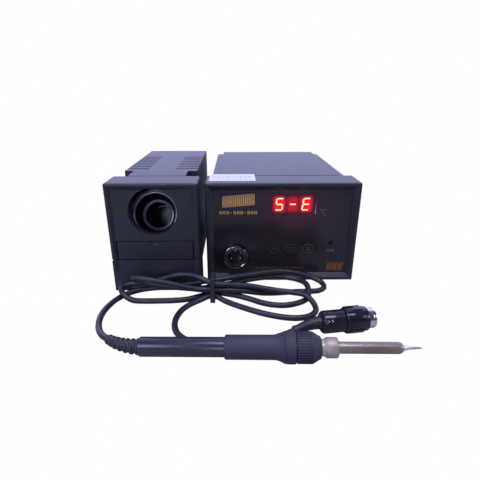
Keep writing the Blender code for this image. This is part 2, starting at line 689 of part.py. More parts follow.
def rocker_frame_size():
    wall = ROCKER_FRAME_WALL + SLIDE_GAP
    return ROCKER_SIZE[0] + 2 * wall, ROCKER_SIZE[1] + 2 * wall


def station_power_switch():
    """Rocker switch, at rest with its upper half pressed in."""
    width, height = rocker_frame_size()
    back = REAR_PANEL_FACE + GAP
    rim = 0.0018
    lip = 0.0015
    frame = box("switch_frame", on_panel(ROCKER_X - width / 2, ROCKER_Z - height / 2, back - ROCKER_DEPTH),
                on_panel(ROCKER_X + width / 2, ROCKER_Z + height / 2, back + lip), DARK_PLASTIC)
    join(frame, boxes([(on_panel(ROCKER_X - width / 2 - rim, ROCKER_Z - height / 2 - rim, back),
                        on_panel(ROCKER_X + width / 2 + rim, ROCKER_Z + height / 2 + rim, back + lip))]))
    wall = ROCKER_FRAME_WALL
    cut(frame, boxes([(on_panel(ROCKER_X - width / 2 + wall, ROCKER_Z - height / 2 + wall,
                                back - ROCKER_DEPTH + wall),
                       on_panel(ROCKER_X + width / 2 - wall, ROCKER_Z + height / 2 - wall,
                                back + REACH * 2))]))
    half_x, half_z = ROCKER_SIZE[0] / 2, ROCKER_SIZE[1] / 2
    pivot = on_panel(ROCKER_X, ROCKER_Z, back - 0.001)
    slope = math.tan(math.radians(ROCKER_TILT))
    waist = half_z - 0.0012
    outline = [(-waist, -0.0012), (-half_z + 0.0004, 0.0028 + half_z * slope), (0.0, 0.0028),
               (half_z - 0.0004, 0.0028 + half_z * slope), (waist, -0.0012), (0.0, -0.0055)]

    def build(mesh):
        ring = [mesh.verts.new((-half_x, y, z)) for z, y in outline]
        face = mesh.faces.new(ring)
        grown = bmesh.ops.extrude_face_region(mesh, geom=[face])["geom"]
        moved = [item for item in grown if isinstance(item, bmesh.types.BMVert)]
        bmesh.ops.translate(mesh, vec=(2 * half_x, 0, 0), verts=moved)
        bmesh.ops.recalc_face_normals(mesh, faces=mesh.faces[:])

    rocker = add_object("power_rocker", mesh_from(build), BLACK_GLOSS)
    rocker.location = pivot
    rocker.rotation_euler = (math.radians(ROCKER_TILT), 0, 0)


def station_fuse():
    place = on_panel(FUSE_X, FUSE_Z, REAR_PANEL_FACE)
    shoulder = GAP + 0.0015
    bore = FUSE_RADIUS - 0.0022
    turned("fuse_holder", [
        (FUSE_RADIUS + 0.002, shoulder), (FUSE_RADIUS + 0.002, GAP), (FUSE_RADIUS, GAP),
        (FUSE_RADIUS, -FUSE_LENGTH), (bore - 0.001, -FUSE_LENGTH), (bore - 0.001, -FUSE_LENGTH + 0.002),
        (bore, -FUSE_LENGTH + 0.002), (bore, shoulder),
    ], place, (0, 1, 0), DARK_PLASTIC, closed=True)
    cap = turned("fuse_cap", [
        (0, shoulder + FUSE_CAP_HEIGHT), (FUSE_RADIUS - 0.001, shoulder + FUSE_CAP_HEIGHT),
        (FUSE_RADIUS, shoulder + FUSE_CAP_HEIGHT - 0.001), (FUSE_RADIUS, shoulder + GAP),
        (bore - SLIDE_GAP, shoulder + GAP), (bore - SLIDE_GAP, -FUSE_LENGTH / 2), (0, -FUSE_LENGTH / 2),
    ], place, (0, 1, 0), DARK_PLASTIC)
    top = REAR_PANEL_FACE + shoulder + FUSE_CAP_HEIGHT
    cut(cap, boxes([(on_panel(FUSE_X - 0.0045, FUSE_Z - 0.0006, top - 0.0015),
                     on_panel(FUSE_X + 0.0045, FUSE_Z + 0.0006, top + REACH))]))


def station_transformer():
    half = Vector(CORE_SIZE) / 2
    behind = max(FUSE_LENGTH, INLET_DEPTH, ROCKER_DEPTH) + TRANSFORMER_MARGIN + half.y + WINDING_BULGE
    middle = Vector((STATION_X, REAR_PANEL_FRONT - behind, STATION_FLOOR + GAP + half.z))
    core = box("transformer_core", middle - half, middle + half, BARE_STEEL)
    leg = CORE_LEG
    inner = half.x - leg
    windows = []
    for side in (-1, 1):
        ends = sorted((middle.x + side * leg, middle.x + side * inner))
        windows.append(((ends[0], middle.y - half.y - REACH, middle.z - half.z + leg),
                        (ends[1], middle.y + half.y + REACH, middle.z + half.z - leg)))
    cut(core, boxes(windows))
    clear = half.z - leg - GAP
    bulge = half.y + WINDING_BULGE
    winding = box("transformer_winding", (middle.x - inner + GAP, middle.y - bulge, middle.z - clear),
                  (middle.x + inner - GAP, middle.y + bulge, middle.z + clear), COPPER)
    cut(winding, boxes([((middle.x - leg - GAP, middle.y - half.y - GAP, middle.z - clear - REACH),
                         (middle.x + leg + GAP, middle.y + half.y + GAP, middle.z + clear + REACH))]))


def station_main_board():
    low, high = board_corners()
    bottom = STATION_FLOOR + POST_HEIGHT + GAP
    box("main_board", (*low, bottom), (*high, bottom + BOARD_THICKNESS), BOARD_GREEN)
    top = bottom + BOARD_THICKNESS + GAP
    middle = (low[1] + high[1]) / 2
    place = (low[0] + 0.020, middle, top)
    cylinder("filter_capacitor", CAPACITOR_RADIUS, 0.0, CAPACITOR_HEIGHT, place, (0, 0, 1), DARK_PLASTIC,
             SMALL_STEPS)
    corner = Vector((high[0] - 0.016 - HEATSINK_SIZE[0], middle - HEATSINK_SIZE[1] / 2, top))
    sink = box("heatsink", corner, corner + Vector(HEATSINK_SIZE), ALUMINIUM)
    fins = []
    fin_count = 4
    pitch = HEATSINK_SIZE[0] / fin_count
    for index in range(fin_count):
        x = corner.x + (index + 0.25) * pitch
        fins.append(((x, corner.y + 0.003, top - REACH), (x + pitch / 2, corner.y + 0.02, top + 0.04)))
    cut(sink, boxes(fins))


def feet(prefix, left, right, front, back):
    """Four round rubber feet under a box, each a piece of its own."""
    places = {"front_left": (left, front), "front_right": (right, front),
              "rear_left": (left, back), "rear_right": (right, back)}
    top = BASE_LIFT - GAP
    for name, (x, y) in places.items():
        profile = [(0, top), (FOOT_RADIUS, top), (FOOT_RADIUS, 0.0004), (FOOT_RADIUS - 0.0004, 0), (0, 0)]
        turned(f"{prefix}_foot_{name}", profile, (x, y, 0), (0, 0, 1), RUBBER, steps=SMALL_STEPS)


# --- iron holder box ---------------------------------------------------------------------------------------
def holder_front_frame():
    """Front block of the holder: frame, face with the round mouth, and the opening over the drawer."""
    low = (HOLDER_LEFT, HOLDER_FRONT, HOLDER_SPLIT + GAP)
    high = (HOLDER_RIGHT, HOLDER_FRAME_BACK, HOLDER_HEIGHT)
    frame = box("holder_front", low, high, BLACK_ABS, EDGE_RADIUS)
    slope = HOLDER_BORDER - HOLDER_LIP
    extra = REACH * slope / HOLDER_RECESS
    edge = HOLDER_LIP - extra
    drop = 0.05
    cut(frame, wedge((low[0] + edge, HOLDER_FRONT - REACH, low[2] - drop),
                     (high[0] - edge, HOLDER_FACE, high[2] - edge), slope + extra))
    wall = HOLDER_WALL
    face_back = HOLDER_FACE + wall
    cut(frame, boxes([((low[0] + wall, face_back, low[2] - REACH),
                       (high[0] - wall, high[1] - wall, high[2] - wall))]))
    neck = holder_outline(low[2], HOLDER_HEIGHT)[0]
    cut(frame, boxes([((neck[0][0] + wall, high[1] - wall * 2, low[2] - REACH),
                       (neck[1][0] - wall, high[1] + REACH, high[2] - wall))]))
    cut(frame, boxes([((low[0] + HOLDER_BORDER, HOLDER_FACE - REACH, low[2] - REACH),
                       (high[0] - HOLDER_BORDER, face_back + REACH, DRAWER_TOP))]))
    join(frame, mouth_collar())
    cut(frame, rod(MOUTH_RADIUS, -REACH * 3, 0.04, mouth(), (0, 1, 0)))


def mouth():
    return (HOLDER_X, HOLDER_FACE, MOUTH_Z)


def rest_direction():
    tilt = math.radians(REST_TILT)
    return Vector((0, math.cos(tilt), -math.sin(tilt)))


def rest_rim():
    """Middle of the rest's rim, on the sloping axis through the middle of the mouth."""
    along = rest_direction()
    return Vector(mouth()) + along * (REST_RECESS / along.y)


def mouth_collar():
    """Short tube behind the face, cut off square to the sloping rest."""
    outer = MOUTH_RADIUS + MOUTH_COLLAR
    collar = rod(outer, HOLDER_WALL / 2, 0.04, mouth(), (0, 1, 0))
    cutter = rod(0.06, -GAP, 0.08, rest_rim(), rest_direction())
    cut(collar, cutter)
    return collar


def iron_rest():
    """Sloping funnel that takes the hot end of the iron, with a metal cup at its inner end."""
    along = rest_direction()
    rim = rest_rim()
    wall = REST_WALL
    tube = REST_TUBE_RADIUS
    turned("iron_rest", [
        (tube + wall, REST_LENGTH), (tube + wall, REST_CONE_LENGTH + 0.002),
        (REST_RIM_RADIUS + wall, 0.0035), (REST_FLANGE, 0.0022), (REST_FLANGE, 0),
        (REST_RIM_RADIUS + 0.0008, 0), (REST_RIM_RADIUS, 0.0008), (REST_RIM_RADIUS, 0.002),
        (tube + 0.003, REST_CONE_LENGTH - 0.001), (tube, REST_CONE_LENGTH), (tube, REST_LENGTH),
    ], rim, along, BLACK_GLOSS, closed=True)
    outer = tube - GAP
    low = REST_LENGTH - CUP_DEPTH
    turned("rest_cup", [
        (0, REST_LENGTH), (outer, REST_LENGTH), (outer, low), (outer - CUP_WALL, low),
        (outer - CUP_WALL, REST_LENGTH - CUP_WALL * 2), (0, REST_LENGTH - CUP_WALL * 2),
    ], rim, along, CHROME)


def holder_outline(low, high):
    """Low and high corners of the holder's neck and rear body."""
    left = HOLDER_LEFT + HOLDER_INSET
    right = HOLDER_RIGHT - HOLDER_INSET
    front = HOLDER_FRAME_BACK + GAP
    shoulder = front + HOLDER_NECK_LENGTH
    return [((left + HOLDER_NECK_INSET, front, low), (right - HOLDER_NECK_INSET, shoulder + REACH, high)),
            ((left, shoulder, low), (right, HOLDER_BACK, high))]


def holder_cover():
    neck, body = holder_outline(HOLDER_SPLIT + GAP, HOLDER_HEIGHT)
    cover = box("holder_cover", *body, BLACK_ABS)
    join(cover, boxes([neck]))
    wall = HOLDER_WALL
    cut(cover, boxes([((body[0][0] + wall, body[0][1] + wall, body[0][2] - REACH),
                       (body[1][0] - wall, body[1][1] - wall, body[1][2] - wall))]))
    cut(cover, boxes([((neck[0][0] + wall, neck[0][1] - REACH, neck[0][2] - REACH),
                       (neck[1][0] - wall, neck[1][1] + wall, neck[1][2] - wall))]))
    grooves = []
    first = body[0][1] + 0.010
    for index in range(GROOVE_COUNT):
        y = first + index * GROOVE_PITCH
        for left, right in ((body[0][0] - REACH, HOLDER_X - STRIP_HALF),
                            (HOLDER_X + STRIP_HALF, body[1][0] + REACH)):
            grooves.append(((left, y, HOLDER_HEIGHT - GROOVE_DEPTH),
                            (right, y + GROOVE_WIDTH, HOLDER_HEIGHT + REACH)))
    cut(cover, boxes(grooves))


def holder_base():
    """Lower shell of the holder: floor, walls and the lower end of the front frame."""
    low = (HOLDER_LEFT, HOLDER_FRONT, BASE_LIFT)
    high = (HOLDER_RIGHT, HOLDER_FRAME_BACK, HOLDER_SPLIT)
    base = box("holder_base", low, high, BLACK_ABS, SEAM_RADIUS)
    rear_low, rear_high = holder_outline(BASE_LIFT, HOLDER_SPLIT)[1]
    join(base, boxes([((rear_low[0], HOLDER_FRAME_BACK - REACH, rear_low[2]), rear_high)]))
    wall = HOLDER_WALL
    hollow_front = HOLDER_FACE + wall
    cut(base, boxes([((low[0] + wall, hollow_front, HOLDER_FLOOR),
                      (high[0] - wall, high[1] - wall, high[2] + REACH))]))
    cut(base, boxes([((rear_low[0] + wall, hollow_front, HOLDER_FLOOR),
                      (rear_high[0] - wall, rear_high[1] - wall, rear_high[2] + REACH))]))
    slope = HOLDER_BORDER - HOLDER_LIP
    extra = REACH * slope / HOLDER_RECESS
    edge = HOLDER_LIP - extra
    past_seam = HOLDER_HEIGHT
    cut(base, wedge((low[0] + edge, HOLDER_FRONT - REACH, low[2] + edge),
                    (high[0] - edge, HOLDER_FACE, past_seam), slope + extra))


def sponge_drawer():
    """Shallow drawer for the damp sponge: a front that fills the frame's opening and an open box behind."""
    inset = HOLDER_BORDER + SLIDE_GAP
    low = (HOLDER_LEFT + inset, HOLDER_FACE, HOLDER_SPLIT + SLIDE_GAP)
    high = (HOLDER_RIGHT - inset, HOLDER_FACE + DRAWER_FRONT, DRAWER_TOP - SLIDE_GAP)
    drawer = box("sponge_drawer", low, high, BLACK_ABS)
    side = HOLDER_INSET + HOLDER_NECK_INSET + HOLDER_WALL + SLIDE_GAP
    box_low = (HOLDER_LEFT + side, HOLDER_FACE + DRAWER_FRONT / 2, low[2])
    box_high = (HOLDER_RIGHT - side, HOLDER_FACE + DRAWER_DEPTH, high[2] - DRAWER_DROP)
    join(drawer, boxes([(box_low, box_high)]))
    wall = DRAWER_WALL
    inside_low = (box_low[0] + wall, HOLDER_FACE + DRAWER_FRONT, box_low[2] + wall)
    inside_high = (box_high[0] - wall, box_high[1] - wall, box_high[2] + REACH)
    cut(drawer, boxes([(inside_low, inside_high)]))
    notch_depth = DRAWER_FRONT - 0.0005
    cut(drawer, rod(NOTCH_RADIUS, -REACH, notch_depth, (HOLDER_X, HOLDER_FACE, DRAWER_TOP), (0, 1, 0),
                    SMALL_STEPS))
    move_origin(drawer, (HOLDER_X, HOLDER_FACE, low[2]))
    margin = SPONGE_MARGIN
    floor = inside_low[2] + GAP
    box("sponge", (inside_low[0] + margin, inside_low[1] + margin, floor),
        (inside_high[0] - margin, inside_high[1] - margin, floor + SPONGE_HEIGHT), SPONGE_YELLOW)


# --- iron ------------------------------------------------------------------------------------------
def iron_axis():
    """Rear end and direction of the iron, which rests on its handle's end and on its flange."""
    middle = (BAND_START + TAPER_START) / 2
    rise = (FLANGE_RADIUS - TUBE_RADIUS) / middle
    heading = math.radians(IRON_HEADING)
    along = Vector((math.cos(heading), math.sin(heading), rise)).normalized()
    return Vector((*IRON_REAR, TUBE_RADIUS + 0.0003)), along


def iron_piece(name, profile, material, closed=False, steps=ROUND_STEPS):
    rear, along = iron_axis()
    return turned(name, profile, rear, along, material, closed=closed, steps=steps)


def iron_handle():
    iron_piece("handle_tube", tube_profile(TUBE_RADIUS, TUBE_BORE, 0.0, BAND_START), BLACK_GLOSS, closed=True)
    flare_middle = FLARE_START + FLARE_LENGTH * 0.6
    sleeve = TUBE_RADIUS + GAP
    iron_piece("iron_grip", [
        (FLANGE_RADIUS - 0.0004, CAP_START), (FLANGE_RADIUS, CAP_START - 0.0006), (FLANGE_RADIUS, BAND_START),
        (GRIP_RADIUS + 0.0012, flare_middle), (GRIP_RADIUS, FLARE_START),
        (GRIP_RADIUS, TUBE_VISIBLE + 0.0008), (GRIP_RADIUS - 0.0008, TUBE_VISIBLE),
        (sleeve, TUBE_VISIBLE), (sleeve, CAP_START),
    ], RUBBER_GRIP, closed=True)
    bore = THREAD_RADIUS + GAP
    iron_piece("iron_cap", [
        (TAPER_RADIUS, CAP_END), (FLANGE_RADIUS - 0.0022, TAPER_START + TAPER_LENGTH * 0.55),
        (FLANGE_RADIUS, TAPER_START), (FLANGE_RADIUS, CAP_START + GAP + 0.0004),
        (FLANGE_RADIUS - 0.0004, CAP_START + GAP), (bore, CAP_START + GAP), (bore, CAP_END),
    ], RUBBER_GRIP, closed=True, steps=40)


def iron_hot_end():
    thread_end = NUT_END - 0.0022
    core = TUBE_BORE - GAP
    iron_piece("heater_mount", [
        (THREAD_RADIUS, thread_end), (THREAD_RADIUS, BAND_START + GAP), (core, BAND_START + GAP),
        (core, BAND_START - 0.020), (HEATER_RADIUS + GAP, BAND_START - 0.020),
        (HEATER_RADIUS + GAP, thread_end),
    ], BARE_STEEL, closed=True)
    inner = THREAD_RADIUS + GAP
    neck = BARREL_RADIUS + GAP
    iron_piece("barrel_nut", [
        (NUT_RADIUS - 0.0006, NUT_END), (NUT_RADIUS, NUT_END - 0.0006), (NUT_RADIUS, NUT_START + 0.0006),
        (NUT_RADIUS - 0.0006, NUT_START), (inner, NUT_START), (inner, NUT_END - 0.0011),
        (neck, NUT_END - 0.0011),
        (neck, NUT_END),
    ], NICKEL, closed=True)
    bore = BARREL_RADIUS - BARREL_WALL
    flange_low = thread_end + GAP
    flange_high = NUT_END - 0.0011 - GAP
    iron_piece("iron_barrel", [
        (TIP_RADIUS + GAP + 0.0005, BARREL_END), (BARREL_RADIUS, BARREL_CONE_START),
        (BARREL_RADIUS, flange_high), (THREAD_RADIUS - 0.0002, flange_high),
        (THREAD_RADIUS - 0.0002, flange_low),
        (bore, flange_low), (bore, BARREL_CONE_START - 0.0005), (TIP_RADIUS + GAP, BARREL_END - 0.0008),
        (TIP_RADIUS + GAP, BARREL_END),
    ], BARE_STEEL, closed=True)
    socket = HEATER_RADIUS + GAP
    tip_rear = BARREL_END - 0.025
    iron_piece("iron_tip", [
        (0, TIP_END), (TIP_POINT_RADIUS, TIP_END - 0.0002), (0.0010, TIP_END - TIP_LENGTH * 0.45),
        (0.0014, BARREL_END + 0.0036), (TIP_RADIUS - 0.0003, BARREL_END + 0.0016),
        (TIP_RADIUS, BARREL_END + 0.0006),
        (TIP_RADIUS, tip_rear), (socket, tip_rear), (socket, BARREL_END - 0.006), (0, BARREL_END - 0.006),
    ], NICKEL, steps=24)
    rear, along = iron_axis()
    cylinder("heater", HEATER_RADIUS, BAND_START - 0.018, BARREL_END - 0.007, rear, along, CERAMIC, 16)


def metres(point):
    return Vector(point) / 1000


def strain_relief():
    """Tapered sleeve that bends with the cord where it leaves the handle."""
    rear, along = iron_axis()
    away = (metres(CORD_ROUTE[0]) - metres(CORD_ROUTE[1])).normalized()
    sleeve("strain_relief", rear - along * GAP, -along, metres(CORD_ROUTE[0]) + away * GAP, -away,
           (TUBE_RADIUS - 0.0012, RELIEF_REAR_RADIUS), RUBBER)


def sleeve(name, start, leaving, end, arriving, end_radii, material, parts=7):
    """Tapered bent sleeve between two faces, square to both."""
    straight = 0.001
    reach = (start - end).length * 0.35
    first, last = start + leaving * straight, end - arriving * straight
    knots = [first, first + leaving * reach, last - arriving * reach, last]
    points = [start] + [bezier(knots, step / parts) for step in range(parts + 1)] + [end]
    grown = end_radii[1] - end_radii[0]
    radii = [end_radii[0] + grown * step / (len(points) - 1) for step in range(len(points))]
    bent_rod(name, points, radii, material)


def bezier(knots, share):
    rest = 1 - share
    weights = (rest ** 3, 3 * rest ** 2 * share, 3 * rest * share ** 2, share ** 3)
    return sum((knot * weight for knot, weight in zip(knots, weights)), Vector())


# --- plug and cord ---------------------------------------------------------------------------------
def plug_axis():
    heading = math.radians(PLUG_HEADING)
    return Vector((*PLUG_REAR, PLUG_RING_RADIUS)), Vector((math.cos(heading), math.sin(heading), 0))


def plug():
    rear, along = plug_axis()
    ring_start = PLUG_BODY_LENGTH + GAP
    ring_end = ring_start + PLUG_RING_LENGTH
    shell_end = ring_end + PLUG_SHELL_SHOWN
    nose = PLUG_SHELL_RADIUS
    nose_end = ring_start + 0.006
    turned("plug_body", [
        (0, nose_end), (nose, nose_end), (nose, PLUG_BODY_LENGTH), (PLUG_BODY_RADIUS, PLUG_BODY_LENGTH),
        (PLUG_BODY_RADIUS, 0.002), (PLUG_BODY_RADIUS - 0.002, 0), (0, 0),
    ], rear, along, BLACK_GLOSS)
    inner = PLUG_SHELL_RADIUS + SLIDE_GAP / 2
    ring = PLUG_RING_RADIUS
    turned("plug_ring", [
        (ring - 0.0012, ring_end), (ring, ring_end - 0.001), (ring, ring_start + 0.001),
        (ring - 0.001, ring_start),
        (inner, ring_start), (inner, ring_end),
    ], rear, along, BLACK_GLOSS, closed=True)
    shell_start = nose_end + GAP
    turned("plug_shell", tube_profile(nose, nose - PLUG_SHELL_WALL, shell_start, shell_end), rear, along,
           CHROME, closed=True)
    insert = nose - PLUG_SHELL_WALL - GAP
    face = shell_end - 0.004
    made = cylinder("plug_insert", insert, shell_start, face, rear, along, DARK_PLASTIC)
    side = Vector((0, 0, 1)).cross(along)
    for index in range(PIN_COUNT):
        angle = math.radians(-30 + 240 * index / (PIN_COUNT - 1))
        place = rear + (side * math.cos(angle) + Vector((0, 0, 1)) * math.sin(angle)) * PIN_CIRCLE
        cut(made, rod(PIN_RADIUS + GAP, face - 0.006, face + REACH, place, along, 12))


def plug_boot():
    rear, along = plug_axis()
    away = (metres(CORD_ROUTE[-1]) - metres(CORD_ROUTE[-2])).normalized()
    sleeve("plug_boot", metres(CORD_ROUTE[-1]) + away * GAP, away, rear - along * GAP, along,
           (BOOT_END_RADIUS, BOOT_RADIUS), BLACK_GLOSS)


def smooth_curve(route, parts=16):
    """Points on one smooth curve through the route's own points."""
    knots = [metres(point) for point in route]
    marks = [0.0]
    for before, after in zip(knots, knots[1:]):
        marks.append(marks[-1] + math.sqrt((after - before).length))
    slopes = []
    last = len(knots) - 1
    for index, knot in enumerate(knots):
        if index == 0:
            slopes.append((knots[1] - knot) / (marks[1] - marks[0]))
        elif index == last:
            slopes.append((knot - knots[-2]) / (marks[-1] - marks[-2]))
        else:
            before, after = marks[index] - marks[index - 1], marks[index + 1] - marks[index]
            arriving = (knot - knots[index - 1]) / before
            leaving = (knots[index + 1] - knot) / after
            slopes.append((arriving * after + leaving * before) / (before + after))
    points = []
    for index in range(last):
        span = marks[index + 1] - marks[index]
        for step in range(parts):
            t = step / parts
            points.append(knots[index] * (2 * t ** 3 - 3 * t ** 2 + 1)
                          + slopes[index] * (span * (t ** 3 - 2 * t ** 2 + t))
                          + knots[index + 1] * (3 * t ** 2 - 2 * t ** 3)
                          + slopes[index + 1] * (span * (t ** 3 - t ** 2)))
    points.append(knots[-1])
    return points


def thinned(points):
    """Keep the points that the tube needs: closer together where it bends, further apart where not."""
    straight = 3
    kept = [points[0], points[straight]]
    length = 0.0
    turn = 0.0
    middle = points[straight:-straight]
    for before, here, after in zip(middle, middle[1:], middle[2:]):
        length += (here - before).length
        turn += math.degrees((here - before).angle(after - here))
        if length >= CORD_MAX_STEP or turn >= CORD_MAX_TURN:
            kept.append(here)
            length = 0.0
            turn = 0.0
    return kept + [points[-1 - straight], points[-1]]


def cord():
    points = thinned(smooth_curve(CORD_ROUTE))
    bent_rod("cord", points, [CORD_DIAMETER / 2] * len(points), CORD_BLACK)


def cord_tie():
    """Flat band round the six runs of the tied hank."""
    y, z = TIE_CENTRE
    half_y, half_z = TIE_HALF
    wall = TIE_THICKNESS
    low, high = TIE_X - TIE_WIDTH / 2, TIE_X + TIE_WIDTH / 2
    tie = box("cord_tie", (low, y - half_y - wall, z - half_z - wall),
              (high, y + half_y + wall, z + half_z + wall), BLACK_GLOSS)
    cut(tie, boxes([((low - REACH, y - half_y, z - half_z), (high + REACH, y + half_y, z + half_z))]))


def centre_on_base():
    """Move the whole model so that the box of everything but the cord and plug is centred on the origin."""
    bpy.context.view_layer.update()
    shapes = bpy.context.evaluated_depsgraph_get()
    corners = []
    for item in PARTS.objects:
        if item.type == "EMPTY" or item.name in CORD_NODES:
            continue
        seen = item.evaluated_get(shapes)
        mesh = seen.to_mesh()
        corners += [item.matrix_world @ corner.co for corner in mesh.vertices]
        seen.to_mesh_clear()
    for axis in (0, 1):
        values = [corner[axis] for corner in corners]
        ROOT.location[axis] = -(min(values) + max(values)) / 2


clear_scene()
PARTS = new_collection("soldering_iron_station")
CUTTERS = new_collection("cutters")
ROOT = bpy.data.objects.new("station_origin", None)
PARTS.objects.link(ROOT)

PLAIN = make_material("plain", (0.5, 0.5, 0.5), 0.5)
BLACK_ABS = make_material("black_abs", (0.018, 0.018, 0.022), 0.45)
BLACK_GLOSS = make_material("black_gloss", (0.012, 0.012, 0.016), 0.18)
DARK_PLASTIC = make_material("dark_plastic", (0.02, 0.02, 0.02), 0.55)
KEY_GREY = make_material("key_grey", (0.05, 0.045, 0.045), 0.35)
RED_WINDOW = make_material("red_window", (0.35, 0.01, 0.02), 0.12)
BLACK_CHROME = make_material("black_chrome", (0.10, 0.10, 0.12), 0.15, 1.0)
CHROME = make_material("chrome", (0.75, 0.75, 0.76), 0.15, 1.0)
NICKEL = make_material("nickel", (0.70, 0.66, 0.62), 0.30, 1.0)
DARK_METAL = make_material("dark_metal", (0.20, 0.20, 0.21), 0.35, 1.0)
BARE_STEEL = make_material("bare_steel", (0.58, 0.55, 0.52), 0.32, 1.0)
ALUMINIUM = make_material("aluminium", (0.70, 0.70, 0.71), 0.40, 1.0)
COPPER = make_material("copper_winding", (0.55, 0.25, 0.12), 0.45, 0.6)
BRASS = make_material("brass", (0.70, 0.55, 0.25), 0.35, 1.0)
CERAMIC = make_material("ceramic", (0.80, 0.76, 0.70), 0.60)
BOARD_GREEN = make_material("board_green", (0.03, 0.16, 0.07), 0.45)
RUBBER = make_material("rubber", (0.02, 0.02, 0.022), 0.75)
RUBBER_GRIP = make_material("rubber_grip", (0.035, 0.035, 0.055), 0.65)
CORD_BLACK = make_material("cord_black", (0.02, 0.02, 0.025), 0.40)
SPONGE_YELLOW = make_material("sponge_yellow", (0.80, 0.62, 0.16), 0.90)

station_front_frame()
station_front_panel()
station_display()
station_keys()
station_key_board()
station_trimmer()
station_socket()
station_base()
station_cover()
station_rear_panel()
station_power_inlet()
station_power_switch()
station_fuse()
station_transformer()
station_main_board()
feet("station", BODY_LEFT + FOOT_INSET, BODY_RIGHT - FOOT_INSET,
     FRAME_DEPTH + NECK_LENGTH + FOOT_INSET, STATION_DEPTH - FOOT_INSET)
holder_front_frame()
iron_rest()
holder_cover()
holder_base()
sponge_drawer()
feet("holder", HOLDER_LEFT + FOOT_INSET, HOLDER_RIGHT - FOOT_INSET,
     HOLDER_FRAME_BACK + FOOT_INSET, HOLDER_BACK - FOOT_INSET)
iron_handle()
iron_hot_end()
strain_relief()
plug()
plug_boot()
cord()
cord_tie()
centre_on_base()
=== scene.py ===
"""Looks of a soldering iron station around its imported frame: the control box with its lit display, the
iron holder box with its sponge drawer, and the iron with its tied cord and plug.

Bench coordinates: X to the right from the frame's own zero line, Y back from the control box's front
edge, Z up from the table, in metres. bench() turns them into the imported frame.
"""
import json
import math
from contextlib import contextmanager

import bmesh
import bpy
from mathutils import Matrix, Vector


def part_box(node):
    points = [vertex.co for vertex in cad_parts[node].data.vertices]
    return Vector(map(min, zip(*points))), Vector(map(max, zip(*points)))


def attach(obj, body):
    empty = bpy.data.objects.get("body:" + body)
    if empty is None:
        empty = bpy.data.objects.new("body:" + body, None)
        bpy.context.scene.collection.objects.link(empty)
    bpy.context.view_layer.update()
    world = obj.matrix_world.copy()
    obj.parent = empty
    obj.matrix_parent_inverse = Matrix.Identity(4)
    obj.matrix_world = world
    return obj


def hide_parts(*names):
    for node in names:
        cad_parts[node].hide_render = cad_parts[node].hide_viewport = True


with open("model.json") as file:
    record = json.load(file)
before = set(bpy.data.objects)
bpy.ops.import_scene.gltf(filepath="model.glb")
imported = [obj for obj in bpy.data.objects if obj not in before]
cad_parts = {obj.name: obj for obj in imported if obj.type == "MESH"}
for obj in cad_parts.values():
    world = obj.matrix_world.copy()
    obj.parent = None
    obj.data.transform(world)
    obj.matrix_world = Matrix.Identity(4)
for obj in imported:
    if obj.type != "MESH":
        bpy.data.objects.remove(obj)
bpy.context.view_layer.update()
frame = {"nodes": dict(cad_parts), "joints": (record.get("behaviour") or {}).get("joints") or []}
NODES = frame["nodes"]
JOINTS = {joint["name"]: joint for joint in frame["joints"]}

# --- sizes that the frame shares ---
STATION_LEFT = -0.0281
STATION_MIDDLE = 0.0449
HOLDER_MIDDLE = -0.07405
GAP = 0.0003
DISPLAY_LEAN = 0.14
SOCKET_MIDDLE = (-0.0446, 0.0265)

TUBE_RADIUS, TUBE_BORE, TUBE_END = 0.0071, 0.0058, 0.1040
GRIP_START, GRIP_RADIUS, FLARE_START, BAND_START = 0.0620, 0.0087, 0.0960, 0.1045
FLANGE_RADIUS, CAP_START, TAPER_START, CAP_END = 0.0115, 0.1123, 0.1229, 0.1297
CAP_RADIUS, TAPER_RADIUS, RIB_COUNT, RIB_DEPTH = 0.0112, 0.0074, 36, 0.00055
THREAD_RADIUS, THREAD_END, NUT_START, NUT_END, NUT_RADIUS = 0.0060, 0.1392, 0.1317, 0.1414, 0.00725
BARREL_RADIUS, BARREL_WALL, CONE_START, BARREL_END = 0.00415, 0.0007, 0.1832, 0.1850
TIP_RADIUS, TIP_END, HEATER_RADIUS = 0.0025, 0.1987, 0.0015
TIP_REAR, TIP_BORE_END, TIP_SHOULDER = BARREL_END - 0.025, BARREL_END - 0.006, BARREL_END + 0.0036
MOUNT_START, NUT_LIP = BAND_START - 0.020, NUT_END - 0.0011

PLUG_BODY_RADIUS, PLUG_BODY_LENGTH = 0.00895, 0.0185
PLUG_RING_RADIUS, PLUG_RING_LENGTH = 0.01085, 0.0190
PLUG_SHELL_RADIUS, PLUG_SHELL_WALL, PLUG_SHELL_END = 0.0080, 0.0009, 0.0438
PLUG_NOSE_END = PLUG_BODY_LENGTH + GAP + 0.006

REST_TILT, REST_RECESS, REST_RIM, REST_FLANGE = 22.0, 0.013, 0.0190, 0.0230
REST_TUBE, REST_CONE, REST_LENGTH, REST_WALL = 0.0120, 0.015, 0.062, 0.0018
REST_MOUTH = (-0.0172, 0.0788)  # how far back and how high the middle of the holder's mouth is

CORD_DIAMETER = 0.0052
RELIEF_RADII = (0.0059, 0.0036)
BOOT_RADII = (0.0034, 0.0053)

